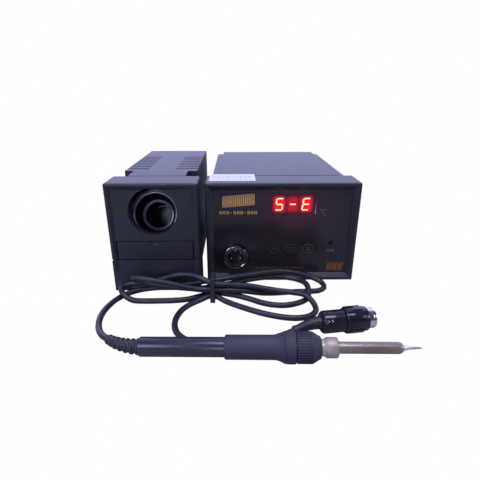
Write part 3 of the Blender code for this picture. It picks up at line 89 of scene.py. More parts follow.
# Route of the cord in bench millimetres, from the iron's strain relief to the plug's boot.
LEAD_FROM_IRON = [
    (-94.5, -104.5, 7), (-103, -95.5, 4.6), (-109.5, -84, 3), (-113, -72, 2.8), (-113.8, -60, 2.8),
    (-112, -48.5, 2.8), (-108.5, -38.5, 2.8), (-102.5, -29.5, 2.9), (-94, -24, 3.6), (-84, -22.6, 5),
    (-72, -22.6, 6.2), (-58, -23, 7.6), (-46, -24.2, 10), (-35, -26.3, 13.6), (-20.8, -29.8, 17.2),
]
RIGHT_LOOP_HIGH = [
    (-8, -28, 18.3), (6, -22, 18), (22, -13, 16), (38, -6.5, 14.5), (52, -5.2, 13.3), (66, -5.3, 10.6),
    (77, -6.5, 7.3), (84.5, -11.5, 4.7), (85.2, -19, 3), (78.5, -24.4, 2.7), (69, -25.4, 2.7),
    (56, -26, 2.7), (40, -28, 2.7), (26, -30.6, 4), (10, -33.3, 7.6), (-5, -35.3, 9.8),
    (-20.8, -35.8, 10.8),
]
LEFT_LOOP_HIGH = [
    (-34, -37.2, 12), (-46, -39.4, 15.8), (-58, -41.2, 20), (-71, -42.4, 23.6), (-82, -42.3, 25.6),
    (-89, -39.8, 25.4), (-92.2, -35.2, 22.5), (-91, -30.4, 18.2), (-85.5, -27.6, 14.8), (-76, -27.6, 12.4),
    (-64, -28.4, 10.8), (-50, -29.4, 9.4), (-36, -30.2, 8.8), (-20.8, -29.8, 10.8),
]
RIGHT_LOOP_MIDDLE = [
    (-6, -26, 11.6), (7, -19.5, 11.3), (24, -10.5, 9.6), (40, -6, 8.7), (54, -7, 7.6), (63, -12.5, 7.6),
    (67.2, -21, 8.4), (68.2, -29.5, 6.4), (66.3, -37.5, 2.9), (61, -43.5, 2.7), (53, -48, 2.7),
    (44, -50.4, 2.7), (34, -49.6, 2.7), (24, -46, 2.7), (13, -39, 2.7), (2, -33, 2.7), (-9, -30.4, 3.4),
    (-20.8, -29.8, 4.8),
]
LEFT_LOOP_LOW = [
    (-32, -34, 3.4), (-43, -38.5, 2.7), (-56, -40.8, 2.7), (-70, -41.4, 2.7), (-83, -41.4, 2.7),
    (-93, -40.8, 3.2), (-100, -38.3, 6.2), (-104.8, -33.2, 8.8), (-105.2, -27.5, 9.6),
    (-100.5, -23.2, 10), (-92, -22.3, 10.6), (-80, -22.3, 12.2), (-69, -22.3, 15), (-59, -22.3, 18),
    (-50, -22.8, 19.8), (-41, -26, 20.8), (-32, -31, 20.3), (-20.8, -35.8, 17.2),
]
RIGHT_LOOP_LOW = [
    (-5, -34.6, 15.2), (12, -32.6, 12.7), (28, -32.5, 9.6), (40, -33.6, 8), (52, -36.4, 7.8),
    (62.5, -41.7, 8.2), (68.5, -49.5, 5.2), (70, -57, 2.8), (67, -64, 2.7), (61, -68.8, 2.7),
    (52, -71, 2.7), (43, -70.2, 2.7), (32, -67, 2.7), (21.5, -62.5, 2.7), (11, -56.5, 2.7),
    (0, -49.5, 2.7), (-10, -42.5, 3), (-20.8, -35.8, 4.8),
]
LEAD_TO_PLUG = [
    (-33, -41.5, 3), (-41, -48.5, 2.7), (-46.5, -57, 2.7), (-49.5, -67.5, 2.7), (-49.8, -78.5, 2.7),
    (-46.8, -89.5, 2.7), (-40.5, -98, 2.7), (-31, -103.3, 2.7), (-18, -105.4, 2.7), (-2, -105.4, 2.7),
    (13, -103.4, 2.7), (26, -100, 2.9), (36, -96.8, 3.9), (45, -93.6, 5.6),
]
CORD_ROUTE = (LEAD_FROM_IRON + RIGHT_LOOP_HIGH + LEFT_LOOP_HIGH + RIGHT_LOOP_MIDDLE + LEFT_LOOP_LOW
              + RIGHT_LOOP_LOW + LEAD_TO_PLUG)

RIGHT, UP, BACK = Vector((1, 0, 0)), Vector((0, 0, 1)), Vector((0, 1, 0))
ORIGIN = Vector((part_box("front_frame")[0].x - STATION_LEFT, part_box("front_frame")[0].y, 0.0))
PANEL_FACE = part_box("front_panel")[0].y
IRON_LINE, PLUG_LINE = [(Vector(JOINTS[name]["pos_m"]), Vector(JOINTS[name]["axis"]).normalized())
                        for name in ("barrel_nut_turn", "plug_ring_turn")]
(IRON_REAR, IRON_ALONG), (PLUG_REAR, PLUG_ALONG) = IRON_LINE, PLUG_LINE


def bench(x, y, z):
    return ORIGIN + Vector((x, y, z))


def rest_axis():
    """Middle of the rest's rim, and the direction in which the rest slopes into the holder."""
    tilt = math.radians(REST_TILT)
    along = Vector((0, math.cos(tilt), -math.sin(tilt)))
    return bench(HOLDER_MIDDLE, *REST_MOUTH) + along * (REST_RECESS / along.y), along


def new_object(name, data):
    item = bpy.data.objects.new(name, data)
    bpy.context.scene.collection.objects.link(item)
    return item


def on_panel(x, z):
    """A place on the front panel: x from the middle of the control box, z from the table."""
    return Vector((ORIGIN.x + STATION_MIDDLE + x, PANEL_FACE, z))


# --- shader writing ---
def both_ways(operation):
    """The two methods of one arithmetic sign: with the signal first, and with the signal second."""
    return (lambda self, other: self.sum_of(operation, self, other),
            lambda self, other: self.sum_of(operation, other, self))


class Signal:
    """One socket of a finish, which takes part in ordinary sums."""

    __add__, __radd__ = both_ways("ADD")
    __sub__, __rsub__ = both_ways("SUBTRACT")
    __mul__, __rmul__ = both_ways("MULTIPLY")
    __truediv__, __rtruediv__ = both_ways("DIVIDE")

    def __init__(self, finish, socket):
        self.finish = finish
        self.socket = socket

    def sum_of(self, operation, first, second):
        return self.finish.node("ShaderNodeMath", {"operation": operation}, {0: first, 1: second})

    def size(self):
        return self.sum_of("ABSOLUTE", self, 0.0)

    def sine(self):
        return self.sum_of("SINE", self, 0.0)

    def at_most(self, other):
        return self.sum_of("MINIMUM", self, other)

    def at_least(self, other):
        return self.sum_of("MAXIMUM", self, other)

    def rise(self, low, high):
        """0 below low, 1 above high, and a smooth rise between."""
        return self.finish.node(
            "ShaderNodeMapRange", {"interpolation_type": "SMOOTHSTEP"},
            {"Value": self, "From Min": low, "From Max": high})


class Finish:
    """A procedural material, built node by node around one Principled shader."""

    def __init__(self, name, **constants):
        self.material = bpy.data.materials.new(name)
        self.open_tree(self.material)
        self.skin = self.tree.nodes["Principled BSDF"]
        self.place = self.node("ShaderNodeTexCoord", output="Object")
        self.set(**constants)

    def open_tree(self, block):
        block.use_nodes = True
        self.tree = block.node_tree

    def node(self, kind, settings=None, inputs=None, output=0):
        made = self.tree.nodes.new(kind)
        for key, value in (settings or {}).items():
            if key == "stops":
                self.set_stops(made.color_ramp, value)
            else:
                setattr(made, key, value)
        for key, value in (inputs or {}).items():
            self.feed(made.inputs[key], value)
        return Signal(self, made.outputs[output]) if made.outputs else None

    def set_stops(self, ramp, stops):
        while len(ramp.elements) > len(stops):
            ramp.elements.remove(ramp.elements[-1])
        while len(ramp.elements) < len(stops):
            ramp.elements.new(1.0)
        for element, (position, colour) in zip(ramp.elements, stops):
            element.position = position
            element.color = (*colour, 1.0)

    def feed(self, socket, value):
        if isinstance(value, Signal):
            self.tree.links.new(value.socket, socket)
        elif isinstance(value, (tuple, Vector)) and socket.type == "RGBA":
            socket.default_value = (*value, 1.0)
        else:
            socket.default_value = value

    def set(self, **values):
        """Feed sockets of the Principled shader, named in small letters."""
        for name, value in values.items():
            self.feed(self.skin.inputs[name.replace("_", " ").title()], value)

    def noise(self, scale, detail=2.0, roughness=0.5, place=None):
        return self.node("ShaderNodeTexNoise", {}, {
            "Vector": place or self.place, "Scale": scale, "Detail": detail, "Roughness": roughness})

    def mix(self, share, first, second):
        return self.node("ShaderNodeMix", {"data_type": "RGBA"}, {0: share, 6: first, 7: second}, output=2)

    def ramp(self, share, stops):
        return self.node("ShaderNodeValToRGB", {"stops": stops}, {0: share})

    def bump(self, height, depth):
        self.set(normal=self.node("ShaderNodeBump", {}, {
            "Strength": 1.0, "Distance": depth, "Height": height}))

    def centred(self, centre, scale=(1.0, 1.0, 1.0)):
        """Object coordinates with their zero moved to centre, then scaled."""
        moved = [-place * grow for place, grow in zip(centre, scale)]
        return self.node("ShaderNodeMapping", {"vector_type": "POINT"}, {
            "Vector": self.place, "Location": Vector(moved), "Scale": Vector(scale)})

    def parts(self, vector):
        split = self.node("ShaderNodeSeparateXYZ", {}, {0: vector}).socket.node
        return [Signal(self, split.outputs[axis]) for axis in range(3)]

    def distance_along(self, start, along):
        return self.node("ShaderNodeVectorMath", {"operation": "DOT_PRODUCT"}, {
            0: self.centred(start), 1: Vector(along)}, output="Value")

    def length_of(self, vector):
        return self.node("ShaderNodeVectorMath", {"operation": "LENGTH"}, {0: vector}, output="Value")


COOL_TINT = (0.78, 0.83, 1.0)


def moulded(name, dark, light, roughness, grain, depth, spread=0.07):
    """Moulded plastic or rubber: clouded colour, uneven sheen and a fine spark-eroded grain."""
    finish = Finish(name, specular_tint=COOL_TINT)
    cloud = finish.noise(38.0, 3.0, 0.6)
    fine = finish.noise(grain, 2.0, 0.55)
    finish.set(base_color=finish.mix(cloud, dark, light))
    finish.set(roughness=roughness + (finish.noise(160.0, 4.0) - 0.5) * spread + (fine - 0.5) * 0.05)
    finish.bump(fine + cloud * 0.3, depth)
    return finish


def plated(name, dark, light, roughness, streak=(40.0, 40.0, 900.0), shine=1.0):
    """Plated or bare metal with fine turning marks and slight tarnish."""
    finish = Finish(name, metallic=shine)
    marks = finish.noise(1.0, 3.0, 0.6, finish.centred((0, 0, 0), streak))
    tarnish = finish.noise(140.0, 4.0, 0.6)
    finish.set(base_color=finish.mix(tarnish.rise(0.3, 0.75), light, dark))
    finish.set(roughness=roughness + (marks - 0.5) * 0.12 + (tarnish - 0.5) * 0.1)
    finish.bump(marks, 0.00001)
    return finish


def smoked_panel():
    """Glossy overlay: near-black, faintly mottled, with the display's red glow spilling on it."""
    finish = Finish("smoked_panel", specular_tint=COOL_TINT)
    mottle = finish.noise(900.0, 3.0, 0.7)
    finish.set(base_color=finish.mix(mottle, (0.0130, 0.0100, 0.0135), (0.0180, 0.0140, 0.0190)))
    smudge = finish.noise(46.0, 4.0, 0.65)
    finish.set(roughness=0.16 + smudge.rise(0.45, 0.7) * 0.12 + (mottle - 0.5) * 0.04)
    spill = finish.length_of(finish.centred(on_panel(0.0105, 0.076), (1.0, 1.0, 1.25)))
    near = 1.0 - spill.rise(0.018, 0.062)
    close = 1.0 - spill.rise(0.012, 0.034)
    glow = finish.mix(near, (0.0, 0.0, 0.0), (0.0075, 0.0020, 0.0035))
    finish.set(emission_color=finish.mix(close, glow, (0.026, 0.0025, 0.0070)))
    finish.set(emission_strength=1.0)
    finish.bump(mottle * 0.4 + smudge, 0.000008)
    return finish


DIGIT_PLACES = (-0.0030, 0.0097, 0.0224)
DIGIT_Z = 0.0797
WINDOW_EDGE, WINDOW_EDGE_LENGTH = (0.0317, 0.0782), 0.0160
CELL_GLOW = (1.0, 0.62, 1.0)


def lit_window():
    """Red display window: three lit digit cells that glow and fade into each other."""
    finish = Finish("lit_red_window", base_color=(0.02, 0.0, 0.002), roughness=0.1)
    glow = 0.05
    for x, level in zip(DIGIT_PLACES, CELL_GLOW):
        across, _, up = finish.parts(finish.centred(on_panel(x, DIGIT_Z)))
        inside = (1.0 - across.size().rise(0.0026, 0.0082)) * (1.0 - up.size().rise(0.0040, 0.0104))
        glow = (inside * level).at_least(glow)
    ripple = finish.noise(700.0, 2.0)
    glow = glow * (0.9 + ripple * 0.2)
    finish.set(emission_color=finish.ramp(glow.at_most(1.0), [
        (0.0, (0.012, 0.002, 0.006)), (0.15, (0.05, 0.001, 0.010)), (0.55, (0.42, 0.0, 0.012)),
        (1.0, (0.95, 0.0, 0.016))]))
    finish.set(emission_strength=1.0)
    return finish


def lit_segments():
    finish = Finish("lit_segments", base_color=(0.9, 0.3, 0.15), roughness=0.4)
    flicker = finish.noise(900.0, 1.0)
    finish.set(emission_color=finish.mix(flicker, (1.0, 0.50, 0.26), (1.0, 0.66, 0.42)))
    finish.set(emission_strength=1.35)
    return finish


def rest_gloss():
    """Polished rest: black in the funnel, with a painted highlight of lighter bluish grey on its rounded rim
    and inner step.
    """
    finish = Finish("rest_gloss", specular_tint=COOL_TINT)
    depth = finish.distance_along(*rest_axis())
    scuff = finish.noise(240.0, 4.0, 0.65)
    bead = 1.0 - (depth + 0.0002).size().rise(0.0006, 0.0014)
    step = 1.0 - (depth - (REST_CONE - 0.0010)).size().rise(0.0004, 0.0012)
    # Painted highlight: the rounded rim and the inner step are coloured lighter bluish grey and partly
    # metallic, as if lit, broken up by the scuff noise.
    wear_and_painted_highlight = bead.at_least(step * 0.7) * (0.75 + scuff * 0.5)
    finish.set(base_color=finish.mix(wear_and_painted_highlight, (0.0085, 0.0082, 0.0150), (0.20, 0.21, 0.30)))
    finish.set(metallic=wear_and_painted_highlight.at_most(1.0) * 0.5)
    finish.set(roughness=0.20 + scuff * 0.10)
    finish.bump(scuff, 0.000008)
    return finish


def clear_edge():
    """Polished edge of the display window, where light from the room gathers towards its foot."""
    finish = Finish("clear_window_edge", base_color=(0.02, 0.01, 0.03), roughness=0.15)
    _, _, up = finish.parts(finish.centred(on_panel(WINDOW_EDGE[0], WINDOW_EDGE[1] - WINDOW_EDGE_LENGTH / 2)))
    finish.set(emission_color=finish.ramp(up / WINDOW_EDGE_LENGTH + (finish.noise(800.0) - 0.5) * 0.2, [
        (0.0, (0.40, 0.32, 0.52)), (0.25, (0.22, 0.13, 0.32)), (0.6, (0.07, 0.022, 0.11)),
        (1.0, (0.02, 0.003, 0.03))]))
    finish.set(emission_strength=0.9)
    return finish


def printed(name, colour, wear_and_painted_highlight, scale=1300.0):
    """Screen print that has thinned in places."""
    finish = Finish(name, metallic=0.35)
    wear = finish.noise(scale, 3.0, 0.65)
    finish.set(base_color=finish.mix(wear.rise(0.38, 0.72), colour, wear_and_painted_highlight))
    finish.set(roughness=0.42 + wear * 0.15)
    return finish


def paper_label():
    finish = Finish("paper_label", roughness=0.55, specular_tint=COOL_TINT)
    fibre = finish.noise(2200.0, 3.0, 0.7)
    cloud = finish.noise(60.0, 2.0)
    finish.set(base_color=finish.mix(cloud, (0.56, 0.56, 0.60), (0.62, 0.62, 0.66)))
    finish.bump(fibre, 0.00002)
    return finish


def heat_tinted_steel():
    """Stainless barrel: satin near the nut, straw and brown where the heater has coloured it."""
    finish = Finish("heat_tinted_steel", metallic=0.7)
    along = (finish.distance_along(IRON_REAR, IRON_ALONG) - NUT_END) / (BARREL_END - NUT_END)
    blotch = finish.noise(170.0, 4.0, 0.6)
    tint = finish.ramp(along + (blotch - 0.5) * 0.22, [
        (0.0, (0.27, 0.232, 0.250)), (0.28, (0.25, 0.208, 0.225)), (0.52, (0.22, 0.172, 0.172)),
        (0.80, (0.24, 0.195, 0.198)), (1.0, (0.28, 0.25, 0.265))])
    rings = (finish.distance_along(IRON_REAR, IRON_ALONG) * 9000.0).sine()
    finish.set(base_color=tint)
    finish.set(roughness=0.42 + (blotch - 0.5) * 0.2 + rings * 0.02)
    finish.bump(rings * 0.5 + blotch, 0.000006)
    return finish


def tinned_tip():
    """Plated needle tip: bright collar, duller tinned point."""
    finish = Finish("tinned_tip", metallic=0.6)
    along = (finish.distance_along(IRON_REAR, IRON_ALONG) - BARREL_END) / (TIP_END - BARREL_END)
    blotch = finish.noise(900.0, 3.0, 0.6)
    finish.set(base_color=finish.ramp(along + (blotch - 0.5) * 0.3, [
        (0.0, (0.74, 0.78, 0.78)), (0.3, (0.66, 0.70, 0.70)), (0.6, (0.42, 0.40, 0.40)),
        (1.0, (0.36, 0.33, 0.33))]))
    finish.set(roughness=0.28 + blotch * 0.2)
    finish.bump(blotch, 0.00002)
    return finish


def cord_sheath():
    """Extruded cord sheath: satin, with faint draw lines and dust."""
    finish = Finish("cord_sheath", specular_tint=COOL_TINT)
    dust = finish.noise(95.0, 4.0, 0.65)
    skin = finish.noise(1500.0, 2.0, 0.5)
    dull = dust.rise(0.35, 0.8)
    finish.set(base_color=finish.mix(dull, (0.0130, 0.0125, 0.0260), (0.0210, 0.0205, 0.0400)))
    finish.set(roughness=0.36 + dust * 0.14)
    finish.bump(skin * 0.6 + dust, 0.00003)
    return finish


def sponge_foam():
    """Cellulose sponge: warm yellow with open cells, the pores painted darker as shade inside them."""
    finish = Finish("cellulose_sponge", roughness=0.92)
    cells = finish.node("ShaderNodeTexVoronoi", {"feature": "F1"}, {
        "Vector": finish.place, "Scale": 620.0}, output="Distance")
    cloud = finish.noise(90.0, 3.0)
    open_cell = cells.rise(0.12, 0.5)
    bright = finish.mix(cloud, (0.62, 0.42, 0.08), (0.78, 0.58, 0.16))
    # Painted shade: the pores are coloured dark brown-yellow, as if shade lay inside the holes.
    finish.set(base_color=finish.mix(open_cell, (0.30, 0.18, 0.03), bright))
    finish.bump(open_cell + finish.noise(1800.0, 2.0) * 0.3, 0.00045)
    return finish


def circuit_board():
    finish = Finish("solder_masked_board", roughness=0.35)
    tracks = finish.node("ShaderNodeTexBrick", {"offset": 0.37}, {
        "Vector": finish.place, "Scale": 130.0, "Mortar Size": 0.035,
        "Color1": (0.012, 0.10, 0.04), "Color2": (0.018, 0.13, 0.05), "Mortar": (0.05, 0.26, 0.11)})
    finish.set(base_color=finish.mix(finish.noise(300.0), tracks, (0.010, 0.07, 0.03)))
    return finish


def wound_copper():
    finish = Finish("enamelled_copper", metallic=0.7, roughness=0.35)
    _, _, up = finish.parts(finish.place)
    turns = (up * 9000.0).sine()
    # Painted shade and highlight: the wire is coloured dark copper in the groove between turns and bright
    # copper on each turn's crest.
    finish.set(base_color=finish.mix(turns.rise(-1.0, 1.0), (0.20, 0.06, 0.02), (0.62, 0.26, 0.10)))
    finish.bump(turns, 0.0002)
    return finish


def laminated_core():
    finish = Finish("laminated_core", metallic=0.8)
    _, back, _ = finish.parts(finish.place)
    sheets = (back * 12500.0).sine()
    rust = finish.noise(80.0, 4.0, 0.65)
    finish.set(base_color=finish.mix(rust.rise(0.5, 0.8), (0.20, 0.20, 0.21), (0.16, 0.09, 0.06)))
    finish.set(roughness=0.45 + rust * 0.2)
    finish.bump(sheets, 0.00015)
    return finish


BODY_ABS = moulded("satin_black_abs", (0.0138, 0.0132, 0.0235), (0.0190, 0.0182, 0.0320),
                   0.40, 1500.0, 0.00006)
POLISHED_BLACK = moulded("polished_black", (0.0100, 0.0100, 0.0190), (0.0145, 0.0145, 0.0260),
                         0.16, 900.0, 0.000008, 0.05)
HANDLE_BLACK = moulded("handle_black", (0.0215, 0.0205, 0.0420), (0.0280, 0.0268, 0.0530),
                       0.26, 1100.0, 0.000010, 0.08)
DRAWER_ABS = moulded("drawer_abs", (0.0085, 0.0082, 0.0145), (0.0120, 0.0116, 0.0200),
                     0.42, 1500.0, 0.00006)
DARK_MOULDING = moulded("dark_moulding", (0.012, 0.012, 0.015), (0.020, 0.020, 0.024),
                        0.45, 1300.0, 0.00005)
KEY_PLASTIC = moulded("key_plastic", (0.0105, 0.0085, 0.0118), (0.0150, 0.0118, 0.0165),
                      0.24, 1700.0, 0.00002)
GRIP_RUBBER = moulded("grip_rubber", (0.0225, 0.0225, 0.0500), (0.0300, 0.0300, 0.0640),
                      0.62, 1900.0, 0.00008, 0.10)
BLACK_RUBBER = moulded("black_rubber", (0.0150, 0.0150, 0.0270), (0.0210, 0.0210, 0.0370),
                       0.46, 1400.0, 0.00006)
REST_GLOSS = rest_gloss()
CHROME = plated("bright_chrome", (0.55, 0.57, 0.60), (0.80, 0.82, 0.86), 0.12)
BLACK_CHROME = plated("black_chrome", (0.10, 0.11, 0.16), (0.20, 0.21, 0.28), 0.20)
SATIN_NICKEL = plated("satin_nickel", (0.27, 0.225, 0.23), (0.37, 0.315, 0.325), 0.50, shine=0.55)
THREAD_METAL = plated("bright_thread", (0.55, 0.52, 0.50), (0.76, 0.74, 0.72), 0.30, shine=0.7)
DARK_STEEL = plated("dark_steel", (0.14, 0.14, 0.15), (0.24, 0.24, 0.26), 0.35)
DULL_CUP = plated("dull_cup", (0.035, 0.035, 0.045), (0.075, 0.075, 0.095), 0.42)
ALUMINIUM = plated("extruded_aluminium", (0.50, 0.50, 0.52), (0.66, 0.66, 0.68), 0.38, (900.0, 900.0, 40.0))
BRASS = plated("trimmer_brass", (0.050, 0.034, 0.016), (0.10, 0.068, 0.030), 0.32)
CERAMIC = moulded("heater_ceramic", (0.70, 0.66, 0.58), (0.80, 0.76, 0.70), 0.55, 1500.0, 0.00004)
PANEL = smoked_panel()
WINDOW = lit_window()
SEGMENTS = lit_segments()
CLEAR_EDGE = clear_edge()
GOLD_PRINT = printed("gold_print", (0.62, 0.36, 0.16), (0.38, 0.20, 0.09))
GOLD_DIM = printed("dim_gold_print", (0.072, 0.046, 0.040), (0.044, 0.030, 0.028))
GOLD_BRIGHT = printed("bright_gold_print", (0.12, 0.066, 0.038), (0.066, 0.038, 0.025))
FAINT_PRINT = printed("faint_gold_print", (0.17, 0.11, 0.085), (0.09, 0.058, 0.045))
RUST_PRINT = printed("rust_print", (0.25, 0.095, 0.035), (0.12, 0.045, 0.020))
GREY_PRINT = printed("grey_print", (0.22, 0.23, 0.30), (0.34, 0.35, 0.42), 500.0)
LABEL, LABEL_DEPTH = paper_label(), 0.00012
BARREL_STEEL = heat_tinted_steel()
TIP_METAL = tinned_tip()
SHEATH = cord_sheath()
FOAM = sponge_foam()
BOARD = circuit_board()
COPPER = wound_copper()
CORE = laminated_core()


# --- modelling by hand ---
def alone(item):
    bpy.ops.object.select_all(action="DESELECT")
    item.select_set(True)
    bpy.context.view_layer.objects.active = item


@contextmanager
def editing(item, mode="FACE"):
    alone(item)
    bpy.ops.object.mode_set(mode="EDIT")
    bpy.ops.mesh.select_mode(type=mode)
    bpy.ops.mesh.select_all(action="SELECT")
    yield
    bpy.ops.object.mode_set(mode="OBJECT")


def pick_faces(item, wanted):
    """In edit mode: select only the faces whose centre and normal are wanted."""
    mesh = bmesh.from_edit_mesh(item.data)
    chosen = [face for face in mesh.faces if wanted(face.calc_center_median(), face.normal)]
    bpy.ops.mesh.select_all(action="DESELECT")
    for face in chosen:
        face.select_set(True)
    bmesh.update_edit_mesh(item.data)


def fresh(name):
    item = bpy.context.object
    item.name = name
    item.data.name = name
    return item


def primitive(add, name, **settings):
    """A primitive that is alone selected, with its name."""
    bpy.ops.object.select_all(action="DESELECT")
    add(**settings)
    return fresh(name)


def outwards(item):
    with editing(item):
        bpy.ops.mesh.normals_make_consistent(inside=False)
    return item


def apply_all(item):
    alone(item)
    for modifier in list(item.modifiers):
        bpy.ops.object.modifier_apply(modifier=modifier.name)


def smooth(item, angle=35.0):
    alone(item)
    bpy.ops.object.shade_smooth_by_angle(angle=math.radians(angle))


def placed(item, place, along=Vector((0, 0, 1)), spin=0.0):
    """Put a piece that was shaped round +Z at zero where it belongs, with its place in its mesh."""
    turn = Vector(along).to_track_quat("Z", "Y").to_matrix().to_4x4()
    item.matrix_world = Matrix.Translation(place) @ turn @ Matrix.Rotation(spin, 4, "Z")
    alone(item)
    bpy.ops.object.transform_apply(location=True, rotation=True, scale=True)
    return item


def fitted(item, body, slot, finish, *stands_for):
    """Give a finished piece its material and its body, and hide the CAD nodes that it stands for. The slot is
    not used.
    """
    item.data.materials.clear()
    item.data.materials.append(finish.material)
    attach(item, body)
    if stands_for:
        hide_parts(*stands_for)
    return item


def near(along, radius, *steps):
    """Profile points round one place: steps along and outwards, in millimetres."""
    return [(along + forward / 1000, radius + outward / 1000) for forward, outward in steps]


def lathed(name, profile, sides=72):
    """Lathe work round +Z: (distance along, radius) points, closed if they start off the axis, spun."""
    if profile[0][1] > 0:
        profile = [*profile, profile[0]]
    item = primitive(bpy.ops.mesh.primitive_plane_add, name, size=0.001)
    with editing(item, "VERT"):
        bpy.ops.mesh.merge(type="CENTER")
        bpy.ops.transform.translate(value=(profile[0][1], 0, profile[0][0]))
        for (along, radius), (next_along, next_radius) in zip(profile, profile[1:]):
            step = (next_radius - radius, 0, next_along - along)
            bpy.ops.mesh.extrude_region_move(TRANSFORM_OT_translate={"value": step})
        bpy.ops.mesh.select_all(action="SELECT")
        bpy.ops.mesh.spin(steps=sides, angle=2 * math.pi, center=(0, 0, 0), axis=(0, 0, 1))
        bpy.ops.mesh.select_all(action="SELECT")
        bpy.ops.mesh.remove_doubles(threshold=0.000004)
        bpy.ops.mesh.normals_make_consistent(inside=False)
    return item


def turned(name, profile, place, along, sides=72):
    item = placed(lathed(name, profile, sides), place, along)
    smooth(item)
    return item


def lathe_piece(name, profile, line, slot, finish, node, sides=72, body="iron"):
    """A finished piece of lathe work on a line, which is a place and a direction."""
    return fitted(turned(name, profile, *line, sides), body, slot, finish, node)


def angle_of(point):
    return math.degrees(math.atan2(point.y, point.x)) % 360.0


SHARP_ANGLE, SHORTEST_EASED = math.radians(28.0), 0.005
MERGED, PRINT_DEPTH = 0.000002, 0.00008


def eased(node, name, width, segments=2):
    """A merged copy of a CAD node with its long sharp edges eased, as a mould leaves them."""
    item = new_object(name, NODES[node].data.copy())
    item.data.name = name
    with editing(item, "VERT"):
        bpy.ops.mesh.remove_doubles(threshold=0.00001)
        bpy.ops.mesh.dissolve_limited(angle_limit=math.radians(1.0))
    shape = bmesh.new()
    shape.from_mesh(item.data)
    weight = shape.edges.layers.float.new("bevel_weight_edge")
    for edge in shape.edges:
        sharp = edge.is_manifold and edge.calc_face_angle() > SHARP_ANGLE
        edge[weight] = 1.0 if sharp and edge.calc_length() > SHORTEST_EASED else 0.0
    shape.to_mesh(item.data)
    shape.free()
    edge = item.modifiers.new("eased_edges", "BEVEL")
    edge.width = width
    edge.segments = segments
    edge.limit_method = "WEIGHT"
    edge.use_clamp_overlap = False
    edge.miter_outer = "MITER_ARC"
    apply_all(item)
    with editing(item, "VERT"):
        bpy.ops.mesh.remove_doubles(threshold=MERGED)
    smooth(item, 40.0)
    flat = item.modifiers.new("flat_faces", "WEIGHTED_NORMAL")
    flat.keep_sharp = True
    flat.weight = 100
    apply_all(item)
    return item


def joined(name, items):
    bpy.ops.object.select_all(action="DESELECT")
    for item in items:
        item.select_set(True)
    bpy.context.view_layer.objects.active = items[0]
    if len(items) > 1:
        bpy.ops.object.join()
    return fresh(name)


def stroke_blank():
    """A flat six-sided blank with pointed ends along Y, from which every printed or lit stroke is cut."""
    blank = primitive(bpy.ops.mesh.primitive_circle_add, "stroke_blank", vertices=6, radius=1.0,
                      fill_type="NGON")
    thick = blank.modifiers.new("thickness", "SOLIDIFY")
    thick.thickness = 1.0
    thick.offset = 1.0
    apply_all(blank)
    return outwards(blank)


BLANK = stroke_blank()
HEX_FLAT = math.cos(math.radians(30.0))


def strokes(name, marks, place, up=UP, proud=PRINT_DEPTH, lean=0.0):
    """Flat strokes on a face: marks are (across, up, length, width, degrees from level)."""
    out = RIGHT.cross(up)
    made = []
    for across, high, length, width, degrees in marks:
        mark = new_object(name, BLANK.data.copy())
        turn = math.radians(degrees)
        for corner in mark.data.vertices:
            end = math.copysign((length - width) / 2, corner.co.y) if abs(corner.co.y) > 0.1 else 0.0
            run = corner.co.y * width / 2 + end
            side = corner.co.x / HEX_FLAT * width / 2
            x = across + run * math.cos(turn) - side * math.sin(turn)
            z = high + run * math.sin(turn) + side * math.cos(turn)
            x += lean * z
            corner.co = place + RIGHT * x + up * z + out * (proud * corner.co.z)
        made.append(mark)
    return outwards(joined(name, made))


def print_on_panel(name, marks, finish):
    """Printed strokes, placed from the middle of the front panel and from the table."""
    return fitted(strokes(name, marks, on_panel(0, 0)), "boxes", "panel_gloss", finish)


def thin_ring(name, radius, width, place):
    """Flat printed circle on the front: a torus pressed nearly flat."""
    ring = primitive(bpy.ops.mesh.primitive_torus_add, name, major_radius=radius, minor_radius=width / 2,
                     major_segments=48, minor_segments=6)
    with editing(ring):
        bpy.ops.transform.resize(value=(1, 1, PRINT_DEPTH * 2 / width))
    return placed(ring, place, -BACK)


def tube_through(name, points, radii, sides=12):
    """A tube on one smooth line, as one curve."""
    line = bpy.data.curves.new(name, "CURVE")
    line.dimensions = "3D"
    line.bevel_depth = 1.0
    line.bevel_resolution = sides // 4
    line.use_fill_caps = True
    spline = line.splines.new("POLY")
    spline.points.add(len(points) - 1)
    for point, place, radius in zip(spline.points, points, radii):
        point.co = (*place, 1.0)
        point.radius = radius
    return new_object(name, line)


def as_mesh(item):
    alone(item)
    bpy.ops.object.convert(target="MESH")
    with editing(item, "VERT"):
        bpy.ops.mesh.remove_doubles(threshold=MERGED)
        bpy.ops.mesh.normals_make_consistent(inside=False)
    smooth(item, 60.0)
    return item


# --- camera ---
view = bpy.data.cameras.new("bench_view")
view.lens = 28.575
view.sensor_width = 36.0
viewpoint = new_object("bench_view", view)
viewpoint.location = bench(0.0, -0.3434, 0.1799)
viewpoint.rotation_euler = (math.radians(68.6), 0.0, math.radians(-0.75))
bpy.context.scene.camera = viewpoint


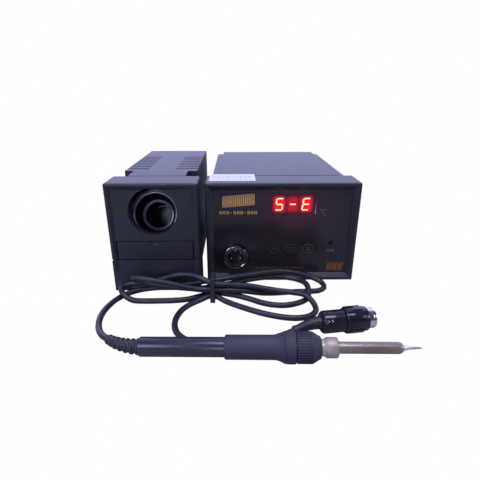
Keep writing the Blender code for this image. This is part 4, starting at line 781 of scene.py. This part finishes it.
# --- cord ---
def smooth_route(route):
    """Points on one smooth curve through the route's own points."""
    parts = 16
    knots = [bench(*(value / 1000 for value in point)) for point in route]
    marks = [0.0]
    for before, after in zip(knots, knots[1:]):
        marks.append(marks[-1] + math.sqrt((after - before).length))
    last = len(knots) - 1
    slopes = []
    for index, knot in enumerate(knots):
        if index == 0:
            slopes.append((knots[1] - knot) / (marks[1] - marks[0]))
        elif index == last:
            slopes.append((knot - knots[-2]) / (marks[-1] - marks[-2]))
        else:
            before, after = marks[index] - marks[index - 1], marks[index + 1] - marks[index]
            arriving = (knot - knots[index - 1]) / before
            leaving = (knots[index + 1] - knot) / after
            slopes.append((arriving * after + leaving * before) / (before + after))
    points = []
    for index in range(last):
        span = marks[index + 1] - marks[index]
        for step in range(parts):
            t = step / parts
            points.append(knots[index] * (2 * t ** 3 - 3 * t ** 2 + 1)
                          + slopes[index] * (span * (t ** 3 - 2 * t ** 2 + t))
                          + knots[index + 1] * (3 * t ** 2 - 2 * t ** 3)
                          + slopes[index + 1] * (span * (t ** 3 - t ** 2)))
    points.append(knots[-1])
    return points


def evenly(points, spacing):
    """Points of a line at nearly even spacing, with both of its ends."""
    kept = [points[0]]
    for point in points[1:-1]:
        if (point - kept[-1]).length >= spacing and (point - points[-1]).length > spacing * 0.6:
            kept.append(point)
    return kept + [points[-1]]


def bent_line(start, leaving, end, arriving, parts):
    """A smooth bend between two faces, square to both."""
    straight = 0.001
    reach = (start - end).length * 0.35
    first, last = start + leaving * straight, end - arriving * straight
    knots = [first, first + leaving * reach, last - arriving * reach, last]
    points = [start]
    for step in range(parts + 1):
        share = step / parts
        rest = 1 - share
        weights = (rest ** 3, 3 * rest ** 2 * share, 3 * rest * share ** 2, share ** 3)
        points.append(sum((knot * weight for knot, weight in zip(knots, weights)), Vector()))
    return points + [end]


def cord():
    line = evenly(smooth_route(CORD_ROUTE), 0.0032)
    item = tube_through("iron_cord", line, [CORD_DIAMETER / 2] * len(line))
    fitted(item, "iron", "cord_black", SHEATH, "cord")
    return item, line


CORD, CORD_LINE = cord()


def cord_tie():
    band = eased("cord_tie", "cord_band", 0.0004)
    low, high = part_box("cord_tie")
    middle = (low + high) / 2
    head = primitive(bpy.ops.mesh.primitive_cube_add, "band_head", size=1.0)
    with editing(head, "EDGE"):
        bpy.ops.transform.resize(value=(high.x - low.x, 0.0034, 0.0024))
        bpy.ops.mesh.bevel(offset=0.0006, segments=3, affect="EDGES")
    placed(head, Vector((middle.x, low.y + 0.0052, high.z - 0.0010)))
    smooth(head)
    band = joined("cord_band", [band, head])
    return fitted(band, "iron", "gloss_black", BLACK_RUBBER, "cord_tie")


def strain_relief():
    """Tapered ribbed sleeve that bends with the cord at the handle's end."""
    away = (CORD_LINE[0] - CORD_LINE[1]).normalized()
    start = IRON_REAR - IRON_ALONG * GAP
    line = bent_line(start, -IRON_ALONG, CORD_LINE[0] + away * GAP, -away, 64)
    ribs = 6
    radii = []
    last = len(line) - 1
    for index in range(len(line)):
        share = index / last
        base = RELIEF_RADII[0] + (RELIEF_RADII[1] - RELIEF_RADII[0]) * share
        wave = math.cos(share * ribs * 2 * math.pi)
        groove = 0.00085 * (0.5 - 0.5 * max(-1.0, min(1.0, wave * 1.9)))
        ended = min(1.0, share * 14.0, (1.0 - share) * 14.0)
        radii.append(base + 0.00025 - groove * ended)
    item = as_mesh(tube_through("ribbed_relief", line, radii, 28))
    fitted(item, "iron", "rubber", BLACK_RUBBER, "strain_relief")


# --- iron ---
def iron_handle():
    radius = TUBE_RADIUS
    lathe_piece("handle_shell", [
        (0.0, TUBE_BORE), *near(0, radius, (0, -0.7), (0.3, -0.2), (0.8, 0)), (TUBE_END, radius),
        (TUBE_END, TUBE_BORE)], IRON_LINE, "gloss_black", HANDLE_BLACK, "handle_tube")
    sleeve = TUBE_RADIUS + GAP
    flare = []
    for step in range(1, 9):
        share = step / 8
        flare.append((FLARE_START + (BAND_START - FLARE_START) * share,
                      GRIP_RADIUS + (FLANGE_RADIUS - GRIP_RADIUS) * share ** 2.1))
    lathe_piece("grip_sleeve", [
        (GRIP_START, sleeve), *near(GRIP_START, GRIP_RADIUS, (0, -0.8), (0.3, -0.3), (1, 0)),
        (FLARE_START - 0.001, GRIP_RADIUS), *flare, *near(BAND_START, FLANGE_RADIUS, (0.2, -0.4),
        (0.7, -0.4), (1, -0.1), (1.6, 0)), *near(CAP_START, FLANGE_RADIUS, (-0.6, 0), (-0.1, -0.5)),
        (CAP_START - 0.0001, sleeve)], IRON_LINE, "grip_rubber", GRIP_RUBBER, "iron_grip", 80)


def iron_cap():
    """Screw cap with straight grip ribs and a rounded taper."""
    start = CAP_START + GAP
    bore = THREAD_RADIUS + GAP
    rib_end = TAPER_START + 0.0002
    cap = lathed("ribbed_cap", [
        (start, bore), *near(start, CAP_RADIUS, (0, -0.6), (0.4, -0.1), (0.6, 0)), (rib_end, CAP_RADIUS),
        *near(TAPER_START, CAP_RADIUS, (1.2, -0.4), (2.6, -1.2), (4.4, -2.4)), *near(CAP_END, TAPER_RADIUS,
        (-0.8, 0.6), (-0.2, 0)), *near(CAP_END, bore, (0, 0.6), (0, 0))], RIB_COUNT * 2)
    step = 360.0 / (RIB_COUNT * 2)
    middle = (start + rib_end) / 2
    with editing(cap):
        pick_faces(cap, lambda centre, normal: abs(centre.z - middle) < 0.002
                   and Vector((centre.x, centre.y)).length > CAP_RADIUS * 0.9
                   and int(angle_of(centre) / step) % 2 == 0)
        bpy.ops.mesh.extrude_region_shrink_fatten(TRANSFORM_OT_shrink_fatten={"value": -RIB_DEPTH})
    placed(cap, IRON_REAR, IRON_ALONG)
    smooth(cap, 30.0)
    fitted(cap, "iron", "grip_rubber", GRIP_RUBBER, "iron_cap")


def heater_mount():
    """Steel mount whose thread shows between the cap and the nut."""
    core = TUBE_BORE - GAP
    wire = HEATER_RADIUS + GAP
    thread = []
    pitch = 0.0006
    place = CAP_END - 0.0008
    while place < NUT_START + 0.0006:
        thread += [(place, THREAD_RADIUS - 0.0004), (place + pitch / 2, THREAD_RADIUS)]
        place += pitch
    lathe_piece("threaded_mount", [
        (MOUNT_START, wire), (MOUNT_START, core), (BAND_START + GAP, core),
        (BAND_START + GAP, THREAD_RADIUS), (CAP_END - 0.0012, THREAD_RADIUS), *thread,
        (THREAD_END, THREAD_RADIUS - 0.0004), (THREAD_END, wire)],
        IRON_LINE, "steel", THREAD_METAL, "heater_mount", 48)


def hot_end():
    inner = THREAD_RADIUS + GAP
    neck = BARREL_RADIUS + GAP
    rim = NUT_RADIUS
    lathe_piece("collar_nut", [
        (NUT_START, inner), *near(NUT_START, rim, (0, -1.2), (0.5, -0.8), (1.2, -0.7), (1.5, -0.1),
        (1.9, 0)), *near(NUT_END, rim, (-1.2, 0), (-0.5, -0.3), (0, -1.1)), (NUT_END, neck),
        (NUT_LIP, neck), (NUT_LIP, inner)], IRON_LINE, "nickel", SATIN_NICKEL, "barrel_nut", body="barrel")
    bore = BARREL_RADIUS - BARREL_WALL
    low, high = THREAD_END + GAP, NUT_LIP - GAP
    mouth = TIP_RADIUS + GAP
    lathe_piece("tinted_barrel", [
        (low, bore), (low, THREAD_RADIUS - 0.0002), (high, THREAD_RADIUS - 0.0002), (high, BARREL_RADIUS),
        *near(CONE_START, BARREL_RADIUS, (-0.4, 0), (0.2, -0.2)), *near(BARREL_END, mouth, (-0.2, 0.5),
        (0, 0.3), (0, 0), (-0.8, 0)), (CONE_START - 0.0005, bore)],
        IRON_LINE, "steel", BARREL_STEEL, "iron_barrel", 64, body="barrel")
    socket = HEATER_RADIUS + GAP
    needle = []
    point = TIP_END - 0.0002
    for step in range(11):
        share = step / 10
        radius = 0.00112 * (1 - share) ** 0.75 + 0.00026
        needle.append((TIP_SHOULDER + (point - TIP_SHOULDER) * share, radius))
    lathe_piece("needle_tip", [
        (TIP_BORE_END, 0.0), (TIP_BORE_END, socket), (TIP_REAR, socket), (TIP_REAR, TIP_RADIUS),
        *near(BARREL_END, TIP_RADIUS, (0.5, 0), (1, -0.2), (1.8, -0.5)), (BARREL_END + 0.0026, 0.00165),
        *needle, (TIP_END, 0.0)], IRON_LINE, "nickel", TIP_METAL, "iron_tip", 40, body="barrel")


# --- plug ---
def plug_body():
    radius = PLUG_BODY_RADIUS
    nose, end = PLUG_SHELL_RADIUS, PLUG_BODY_LENGTH
    lathe_piece("plug_housing", [
        (0.0, 0.0), *near(0, radius, (0, -2.4), (0.4, -1.3), (1.2, -0.5), (2.2, 0), (10.8, 0), (11, -0.3),
        (11.6, -0.3), (11.8, 0)), *near(end, radius, (-0.4, 0), (0, -0.4)), (end, nose),
        (PLUG_NOSE_END, nose), (PLUG_NOSE_END, 0.0)],
        PLUG_LINE, "gloss_black", POLISHED_BLACK, "plug_body", 80)


def plug_screws():
    """Two small slotted screws side by side in the plug's housing."""
    across = UP.cross(PLUG_ALONG).normalized()
    out = (-across * math.cos(math.radians(34.0)) + UP * math.sin(math.radians(34.0))).normalized()
    made = []
    for distance in (0.0034, 0.0066):
        head = lathed("plug_screw", [
            (-0.0006, 0.0), (-0.0006, 0.00105), (0.0001, 0.00105), (0.0003, 0.0009), (0.0004, 0.0006),
            (0.0004, 0.0)], 20)
        with editing(head):
            pick_faces(head, lambda centre, normal: normal.z > 0.9 and abs(centre.y) < 0.0003)
            bpy.ops.mesh.extrude_region_move(TRANSFORM_OT_translate={"value": (0, 0, -0.0002)})
        place = PLUG_REAR + PLUG_ALONG * distance + out * (PLUG_BODY_RADIUS - 0.0001)
        made.append(placed(head, place, out, 0.6))
    screws = joined("plug_screws", made)
    smooth(screws, 30.0)
    fitted(screws, "iron", "chrome", CHROME)
    return screws


def plug_ring():
    """Coupling ring with raised grip pads."""
    start = PLUG_BODY_LENGTH + GAP
    end = start + PLUG_RING_LENGTH
    inner = PLUG_SHELL_RADIUS + 0.0003
    low = PLUG_RING_RADIUS - 0.0009
    pads, sides = 9, 81
    ring = lathed("coupling_ring", [
        (start, inner), *near(start, low, (0, -0.7), (0.6, 0), (1.6, 0)), *near(end, low, (-5, 0),
        (-4.2, -0.2), (-1.2, -0.2), (-0.4, -0.6), (0, -1.4)), (end, inner)], sides)
    step = 360.0 / sides
    with editing(ring):
        pick_faces(ring, lambda centre, normal: start + 0.0016 < centre.z < end - 0.0050
                   and Vector((centre.x, centre.y)).length > low * 0.95
                   and int(angle_of(centre) / step) % (sides // pads) < 6)
        bpy.ops.mesh.extrude_region_move(TRANSFORM_OT_translate={"value": (0, 0, 0)})
        grown = (low + 0.0008) / low
        bpy.ops.transform.resize(value=(grown, grown, 1.0), center_override=(0, 0, 0))
        bpy.ops.mesh.select_all(action="SELECT")
    edge = ring.modifiers.new("pad_edges", "BEVEL")
    edge.width, edge.segments, edge.limit_method = 0.00018, 2, "ANGLE"
    edge.angle_limit = math.radians(40.0)
    edge.use_clamp_overlap = True
    apply_all(ring)
    placed(ring, PLUG_REAR, PLUG_ALONG)
    smooth(ring, 35.0)
    fitted(ring, "plug_ring", "gloss_black", POLISHED_BLACK, "plug_ring")


def plug_shell():
    nose, wall = PLUG_SHELL_RADIUS, PLUG_SHELL_WALL
    start = PLUG_NOSE_END + GAP
    end = PLUG_SHELL_END
    lathe_piece("plug_sleeve", [
        (start, nose - wall), (start, nose), *near(end, nose, (-3.2, 0), (-2.9, -0.25), (-2.4, -0.25),
        (-2.1, 0), (-0.7, 0), (-0.2, -0.2), (0, -0.5)), *near(end, nose - wall, (-0.2, 0.1), (-0.8, 0))],
        PLUG_LINE, "chrome", CHROME, "plug_shell", 72)


def plug_boot():
    away = (CORD_LINE[-1] - CORD_LINE[-2]).normalized()
    start = CORD_LINE[-1] + away * GAP
    line = bent_line(start, away, PLUG_REAR - PLUG_ALONG * GAP, PLUG_ALONG, 30)
    radii = []
    last = len(line) - 1
    for index in range(len(line)):
        share = index / last
        lip = 0.0004 if share < 0.12 else 0.0
        radii.append(BOOT_RADII[0] + (BOOT_RADII[1] - BOOT_RADII[0]) * share ** 1.1 + lip)
    boot = as_mesh(tube_through("tapered_boot", line, radii, 28))
    return fitted(boot, "iron", "gloss_black", BLACK_RUBBER, "plug_boot")


# --- control box ---
def boxes_with_eased_edges():
    for node, name, width, finish in (
            ("front_frame", "front_surround", 0.0005, BODY_ABS),
            ("station_cover", "box_cover", 0.0006, BODY_ABS),
            ("station_base", "box_base", 0.0005, BODY_ABS),
            ("rear_panel", "back_plate", 0.0003, BODY_ABS),
            ("holder_front", "holder_surround", 0.0005, BODY_ABS),
            ("holder_cover", "holder_shell", 0.0005, BODY_ABS),
            ("holder_base", "holder_floor", 0.0004, BODY_ABS),
            ("power_inlet", "inlet_housing", 0.0003, DARK_MOULDING),
            ("switch_frame", "switch_bezel", 0.0003, DARK_MOULDING),
            ("heatsink", "finned_heatsink", 0.0002, ALUMINIUM)):
        slot = {BODY_ABS: "black_abs", DARK_MOULDING: "dark_plastic", ALUMINIUM: "aluminium"}[finish]
        fitted(eased(node, name, width), "boxes", slot, finish, node)
    drawer = eased("sponge_drawer", "drawer_box", 0.0003)
    fitted(drawer, "sponge_drawer", "black_abs", DRAWER_ABS, "sponge_drawer")
    fitted(eased("power_rocker", "rocker_cap", 0.0005, segments=3), "power_rocker", "panel_gloss",
           POLISHED_BLACK, "power_rocker")


# Lit segments of a digit: across, up, length, degrees from level.
SEGMENT_PLACES = {
    "top": (0.0, 0.0056, 0.0056, 0.0), "middle": (0.0, 0.0, 0.0056, 0.0),
    "bottom": (0.0, -0.0056, 0.0056, 0.0), "upper_left": (-0.0031, 0.0028, 0.0050, 90.0),
    "lower_left": (-0.0031, -0.0028, 0.0050, 90.0), "lower_right": (0.0031, -0.0028, 0.0050, 90.0),
}
SEGMENT_WIDTH = 0.00125
READING = (
    ("top", "upper_left", "middle", "lower_right", "bottom"),
    ("middle",),
    ("top", "upper_left", "middle", "lower_left", "bottom"),
)


def display_digits():
    for index, (x, lit) in enumerate(zip(DIGIT_PLACES, READING)):
        marks = []
        for part in lit:
            across, high, length, degrees = SEGMENT_PLACES[part]
            marks.append((across, high, length, SEGMENT_WIDTH, degrees))
        place = on_panel(x, DIGIT_Z)
        digit = strokes(f"lit_digit_{index + 1}", marks, place, proud=0.00010, lean=DISPLAY_LEAN)
        fitted(digit, "boxes", "red_window", SEGMENTS)
    edge = strokes("window_edge", [(*WINDOW_EDGE, WINDOW_EDGE_LENGTH, 0.0007, 90.0)], on_panel(0, 0))
    fitted(edge, "boxes", "red_window", CLEAR_EDGE)


def panel_print():
    """Printed marks of the front panel, as plain shapes without lettering."""
    emblem = []
    left, right, low, high = -0.0573, -0.0264, 0.0772, 0.0868
    rise = 0.0027
    width = right - left
    tilt = math.degrees(math.atan(rise / width))
    for z in (low, high):
        emblem.append(((left + right) / 2, z + rise / 2, width, 0.0013, tilt))
    bars = 16
    for index in range(bars):
        share = (index + 0.5) / bars
        emblem.append((left + width * share, (low + high) / 2 + rise * share, high - low, 0.00150, 90.0))
    print_on_panel("gold_emblem", emblem, GOLD_PRINT)
    bars = []
    for index in range(11):
        x = -0.0588 + index * 0.00335
        if index in (3, 7):
            bars.append((x, 0.0716, 0.0017, 0.0007, 0.0))
        else:
            bars += [(x - 0.0007, 0.0716, 0.0035, 0.0008, 90.0), (x + 0.0007, 0.0716, 0.0035, 0.0008, 90.0)]
    print_on_panel("gold_bars", bars, GOLD_PRINT)
    faint, bright = [], []
    for index in range(24):
        x = -0.0235 + index * 0.00205
        group = faint if index < 13 else bright
        group.append((x, 0.0134, 0.0019 if index % 3 else 0.0025, 0.0007, 90.0))
    print_on_panel("faint_line", faint, FAINT_PRINT)
    print_on_panel("rust_line", bright, RUST_PRINT)
    trimmer_label = [(0.0487 + 0.0013 * index, 0.0322, 0.0026, 0.0007, 90.0) for index in range(-2, 4)]
    print_on_panel("trimmer_mark", trimmer_label, FAINT_PRINT)
    blocks = []
    for index in range(9):
        x = 0.0478 + index * 0.00165 + (index // 3) * 0.0006
        blocks.append((x, 0.0146, 0.0088, 0.0011, 82.0))
    print_on_panel("rust_blocks", blocks, RUST_PRINT)
    degree = thin_ring("degree_ring", 0.0008, 0.0005, on_panel(0.0371, 0.0742))
    letter = strokes("unit_arc", [
        (0.0409, 0.0742, 0.0029, 0.0008, 0.0), (0.0396, 0.0736, 0.0018, 0.0008, 45.0),
        (0.0390, 0.0715, 0.0036, 0.0008, 90.0), (0.0396, 0.0694, 0.0018, 0.0008, -45.0),
        (0.0409, 0.0688, 0.0029, 0.0008, 0.0)], on_panel(0, 0))
    fitted(joined("unit_mark", [letter, degree]), "boxes", "panel_gloss", FAINT_PRINT)


def key_marks():
    """A printed circle and a plain symbol on each key."""
    symbols = {
        "key_up": [(-0.0014, 0.0000, 0.0056, 0.0006, 58.0), (0.0014, 0.0000, 0.0056, 0.0006, -58.0),
                   (0.0, 0.0002, 0.0022, 0.0006, 0.0)],
        "key_down": [(-0.0014, -0.0005, 0.0048, 0.0006, -58.0), (0.0014, -0.0005, 0.0048, 0.0006, 58.0),
                     (0.0, 0.0016, 0.0070, 0.0006, 0.0)],
        "key_set": [(0.0, 0.0, 0.0056, 0.0007, 90.0), (0.0, 0.0006, 0.0050, 0.0006, 35.0),
                    (0.0, 0.0006, 0.0050, 0.0006, -35.0), (0.0, -0.0014, 0.0026, 0.0009, 0.0)],
    }
    for node, marks in symbols.items():
        low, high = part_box(node)
        face = Vector(((low.x + high.x) / 2, low.y, (low.z + high.z) / 2))
        ring = thin_ring("key_circle", 0.0051, 0.00055, face)
        symbol = strokes("key_symbol", marks, face)
        finish = GOLD_DIM if node != "key_set" else GOLD_BRIGHT
        fitted(joined(node + "_mark", [symbol, ring]), node, "key_grey", finish)


def plug_socket_ring():
    """Dark plated ring of the iron's socket, with tool notches in its front."""
    centre = on_panel(*SOCKET_MIDDLE)
    depth, outer, bore = 0.0047, 0.0125, 0.0098
    sides = 72
    ring = lathed("socket_collar", [
        (0.0, bore + 0.0002), (0.0, outer), *near(depth, outer, (-1.6, 0), (-0.7, -0.3), (-0.2, -0.9),
        (0, -1.4)), *near(depth, bore, (0, 1), (-0.5, 0.3), (-1.2, 0.2))], sides)
    with editing(ring):
        pick_faces(ring, lambda point, normal: point.z > depth - 0.0009
                   and ((angle_of(point) + 12.0) % 60.0) < 14.0)
        bpy.ops.mesh.extrude_region_move(TRANSFORM_OT_translate={"value": (0, 0, -0.0011)})
    placed(ring, Vector((centre.x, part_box("socket_ring")[0].y + depth, centre.z)), -BACK)
    smooth(ring, 30.0)
    fitted(ring, "boxes", "black_chrome", BLACK_CHROME, "socket_ring")


def socket_pins():
    """Round-nosed contact pins in the iron's socket."""
    low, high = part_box("socket_pins")
    centre = on_panel(*SOCKET_MIDDLE)
    length = high.y - low.y
    radius, circle = 0.0009, 0.0054
    made = []
    for index in range(5):
        turn = math.radians(-30.0 + 60.0 * index)
        pin = lathed("contact_pin", [
            (0.0, 0.0), (0.0, radius), (length - 0.0007, radius), (length - 0.0003, radius * 0.85),
            (length - 0.0001, radius * 0.5), (length, 0.0)], 24)
        place = Vector((centre.x + circle * math.cos(turn), high.y, centre.z + circle * math.sin(turn)))
        made.append(placed(pin, place, -BACK))
    pins = joined("contact_pins", made)
    smooth(pins, 50.0)
    fitted(pins, "boxes", "chrome", CHROME, "socket_pins")


def top_sticker():
    """Small white paper label on the top, with faint grey blocks."""
    left, front, width, depth = -0.0250, 0.0098, 0.0445, 0.0310
    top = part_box("front_frame")[1].z
    place = bench(left + width / 2, front + depth / 2, top)
    label = primitive(bpy.ops.mesh.primitive_plane_add, "paper_label", size=1.0)
    with editing(label, "VERT"):
        bpy.ops.transform.resize(value=(width, depth, 1.0))
        bpy.ops.mesh.bevel(offset=0.0012, segments=4, affect="VERTICES")
    sheet = label.modifiers.new("paper", "SOLIDIFY")
    sheet.thickness, sheet.offset = LABEL_DEPTH, 1.0
    apply_all(label)
    placed(label, place)
    fitted(label, "boxes", "sponge_yellow", LABEL)
    marks = []
    for index in range(9):
        x = -0.0180 + index * 0.0043
        tall = (0.0046, 0.0062, 0.0050, 0.0064, 0.0040)[index % 5]
        marks += [(x, 0.0010, tall, 0.0012, 90.0), (x + 0.0017, 0.0016, tall * 0.7, 0.0010, 90.0)]
    for index in range(6):
        marks.append((-0.0165 + index * 0.0062, -0.0082, 0.0046, 0.0010, 0.0))
    print_on_label = strokes("label_blocks", marks, place + UP * LABEL_DEPTH, BACK, PRINT_DEPTH / 2)
    fitted(print_on_label, "boxes", "sponge_yellow", GREY_PRINT)


# --- holder ---
def iron_rest():
    """Glossy funnel in the holder's mouth: rounded rim, cone and sloping tube."""
    bead = []
    for step in range(9):
        turn = math.pi * step / 8
        bead.append((-0.0010 * math.sin(turn), REST_RIM + 0.0010 + 0.0011 * math.cos(turn)))
    tube, wall = REST_TUBE, REST_WALL
    lathe_piece("rest_funnel", [
        (REST_LENGTH, tube), (REST_LENGTH, tube + wall), (REST_CONE + 0.002, tube + wall),
        (0.0035, REST_RIM + wall), *near(0, REST_FLANGE, (2.2, 0), (0, 0)), *bead, *near(0, REST_RIM,
        (0.6, -0.2), (2, -0.2), (6, -1.8)), *near(REST_CONE, tube, (-1.4, 2.6), (-1, 1), (-0.4, 0.2),
        (0, 0))], rest_axis(), "gloss_black", REST_GLOSS, "iron_rest", 96, body="boxes")


def sponge():
    """Cleaning sponge that swells a little between its corners, laid in the drawer."""
    low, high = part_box("sponge")
    middle, size = (low + high) / 2, high - low
    foam = primitive(bpy.ops.mesh.primitive_cube_add, "damp_sponge", size=1.0)
    with editing(foam, "EDGE"):
        bpy.ops.transform.resize(value=(size.x * 0.95, size.y * 0.95, size.z * 0.76))
        bpy.ops.mesh.bevel(offset=0.0010, segments=2, affect="EDGES")
    placed(foam, middle)
    voxels = foam.modifiers.new("cells", "REMESH")
    voxels.mode, voxels.voxel_size = "VOXEL", 0.0016
    apply_all(foam)
    rest_shape = [corner.co.copy() for corner in foam.data.vertices]
    cloth = foam.modifiers.new("swell", "CLOTH")
    cloth.settings.use_pressure = True
    cloth.settings.uniform_pressure_force = 4.0
    cloth.settings.effector_weights.gravity = 0.0
    cloth.settings.quality = 5
    for step in range(1, 13):
        bpy.context.scene.frame_set(step)
    apply_all(foam)
    bpy.context.scene.frame_set(1)
    most = 0.0007
    for corner, start in zip(foam.data.vertices, rest_shape):
        moved = corner.co - start
        if moved.length > most:
            corner.co = start + moved.normalized() * most
    for corner in foam.data.vertices:
        for axis in range(3):
            corner.co[axis] = min(max(corner.co[axis], low[axis]), high[axis])
    fine = foam.modifiers.new("fine", "SUBSURF")
    fine.levels = fine.render_levels = 1
    apply_all(foam)
    smooth(foam, 60.0)
    fitted(foam, "sponge_drawer", "sponge_yellow", FOAM, "sponge")


def cad_nodes_with_finishes():
    """The CAD nodes that stay on show, each with its own finish."""
    finishes = {
        "front_panel": PANEL, "display_window": WINDOW, "display_module": DARK_MOULDING, "key_board": BOARD,
        "key_up": KEY_PLASTIC, "key_down": KEY_PLASTIC, "key_set": KEY_PLASTIC, "cal_trimmer": BRASS,
        "iron_socket": DARK_STEEL, "socket_insert": DARK_MOULDING,
        "fuse_holder": DARK_MOULDING, "fuse_cap": DARK_MOULDING, "transformer_core": CORE,
        "transformer_winding": COPPER, "main_board": BOARD, "filter_capacitor": POLISHED_BLACK,
        "rest_cup": DULL_CUP, "heater": CERAMIC, "plug_insert": DARK_MOULDING,
    }
    for node, item in NODES.items():
        if "_foot_" in node:
            finish = BLACK_RUBBER
        elif node in finishes:
            finish = finishes[node]
        else:
            continue
        for index in range(len(item.material_slots)):
            item.material_slots[index].material = finish.material


boxes_with_eased_edges()
display_digits()
panel_print()
key_marks()
plug_socket_ring()
socket_pins()
top_sticker()
iron_rest()
TIE = cord_tie()
strain_relief()
iron_handle()
iron_cap()
heater_mount()
hot_end()
plug_body()
SCREWS = plug_screws()
plug_ring()
plug_shell()
BOOT = plug_boot()
sponge()
cad_nodes_with_finishes()
bpy.data.objects.remove(BLANK)


# --- floor and light ---
def floor():
    """Pale bench top: it shows white, and throws back little light so that the black boxes stay dark."""
    bench_top = primitive(bpy.ops.mesh.primitive_grid_add, "bench_top", x_subdivisions=4, y_subdivisions=4,
                          size=14.0, location=(0, 0, -0.0003))
    finish = Finish("white_bench", roughness=0.6, base_color=(0.30, 0.30, 0.33))
    lit = Signal(finish, finish.skin.outputs[0])
    shown = finish.node("ShaderNodeEmission", {}, {"Color": (1.0, 1.0, 1.0), "Strength": 1.0})
    seen = finish.node("ShaderNodeLightPath", output="Is Camera Ray")
    cover = finish.node("ShaderNodeMixShader", {}, {0: seen, 1: lit, 2: shown})
    finish.feed(finish.tree.nodes["Material Output"].inputs["Surface"], cover)
    bench_top.data.materials.append(finish.material)


class Room(Finish):
    """White room: bright behind and above, dim towards the viewer."""

    def __init__(self, name):
        world = bpy.data.worlds.new(name)
        bpy.context.scene.world = world
        self.open_tree(world)
        self.tree.nodes.clear()
        place = self.node("ShaderNodeTexCoord", output="Generated")
        _, behind, _ = self.parts(place)
        tint = self.mix(behind.rise(0.15, 0.80), (0.075, 0.076, 0.105), (1.14, 1.16, 1.95))
        lit = self.node("ShaderNodeBackground", {}, {"Color": tint})
        white = self.node("ShaderNodeBackground", {}, {"Color": (1.0, 1.0, 1.0)})
        seen = self.node("ShaderNodeLightPath", output="Is Camera Ray")
        mixed = self.node("ShaderNodeMixShader", {}, {0: seen, 1: lit, 2: white})
        self.node("ShaderNodeOutputWorld", {}, {"Surface": mixed})


def soft_light(name, place, target, size, power, colour):
    light = bpy.data.lights.new(name, "AREA")
    light.shape, light.size, light.size_y = "RECTANGLE", size[0], size[1]
    light.energy = power
    light.color = colour
    lamp = new_object(name, light)
    lamp.location = place
    lamp.rotation_euler = (Vector(target) - Vector(place)).to_track_quat("-Z", "Y").to_euler()


floor()
Room("bright_room")
soft_light("ceiling_panel", (0.0, -0.30, 1.15), (0.0, -0.05, 0.0), (1.0, 0.45), 12.0, (0.88, 0.92, 1.0))
soft_light("side_window", (-1.0, -0.75, 0.65), (0.0, 0.0, 0.05), (0.5, 0.5), 5.0, (0.92, 0.95, 1.0))
soft_light("front_window", (-0.35, -1.3, 0.42), (0.0, 0.0, 0.05), (0.25, 0.25), 3.0, (0.93, 0.94, 1.0))
soft_light("right_fill", (1.1, -0.35, 0.5), (0.0, 0.0, 0.05), (0.5, 0.4), 3.0, (1.0, 0.97, 0.94))
bpy.context.scene.view_settings.view_transform = "Standard"
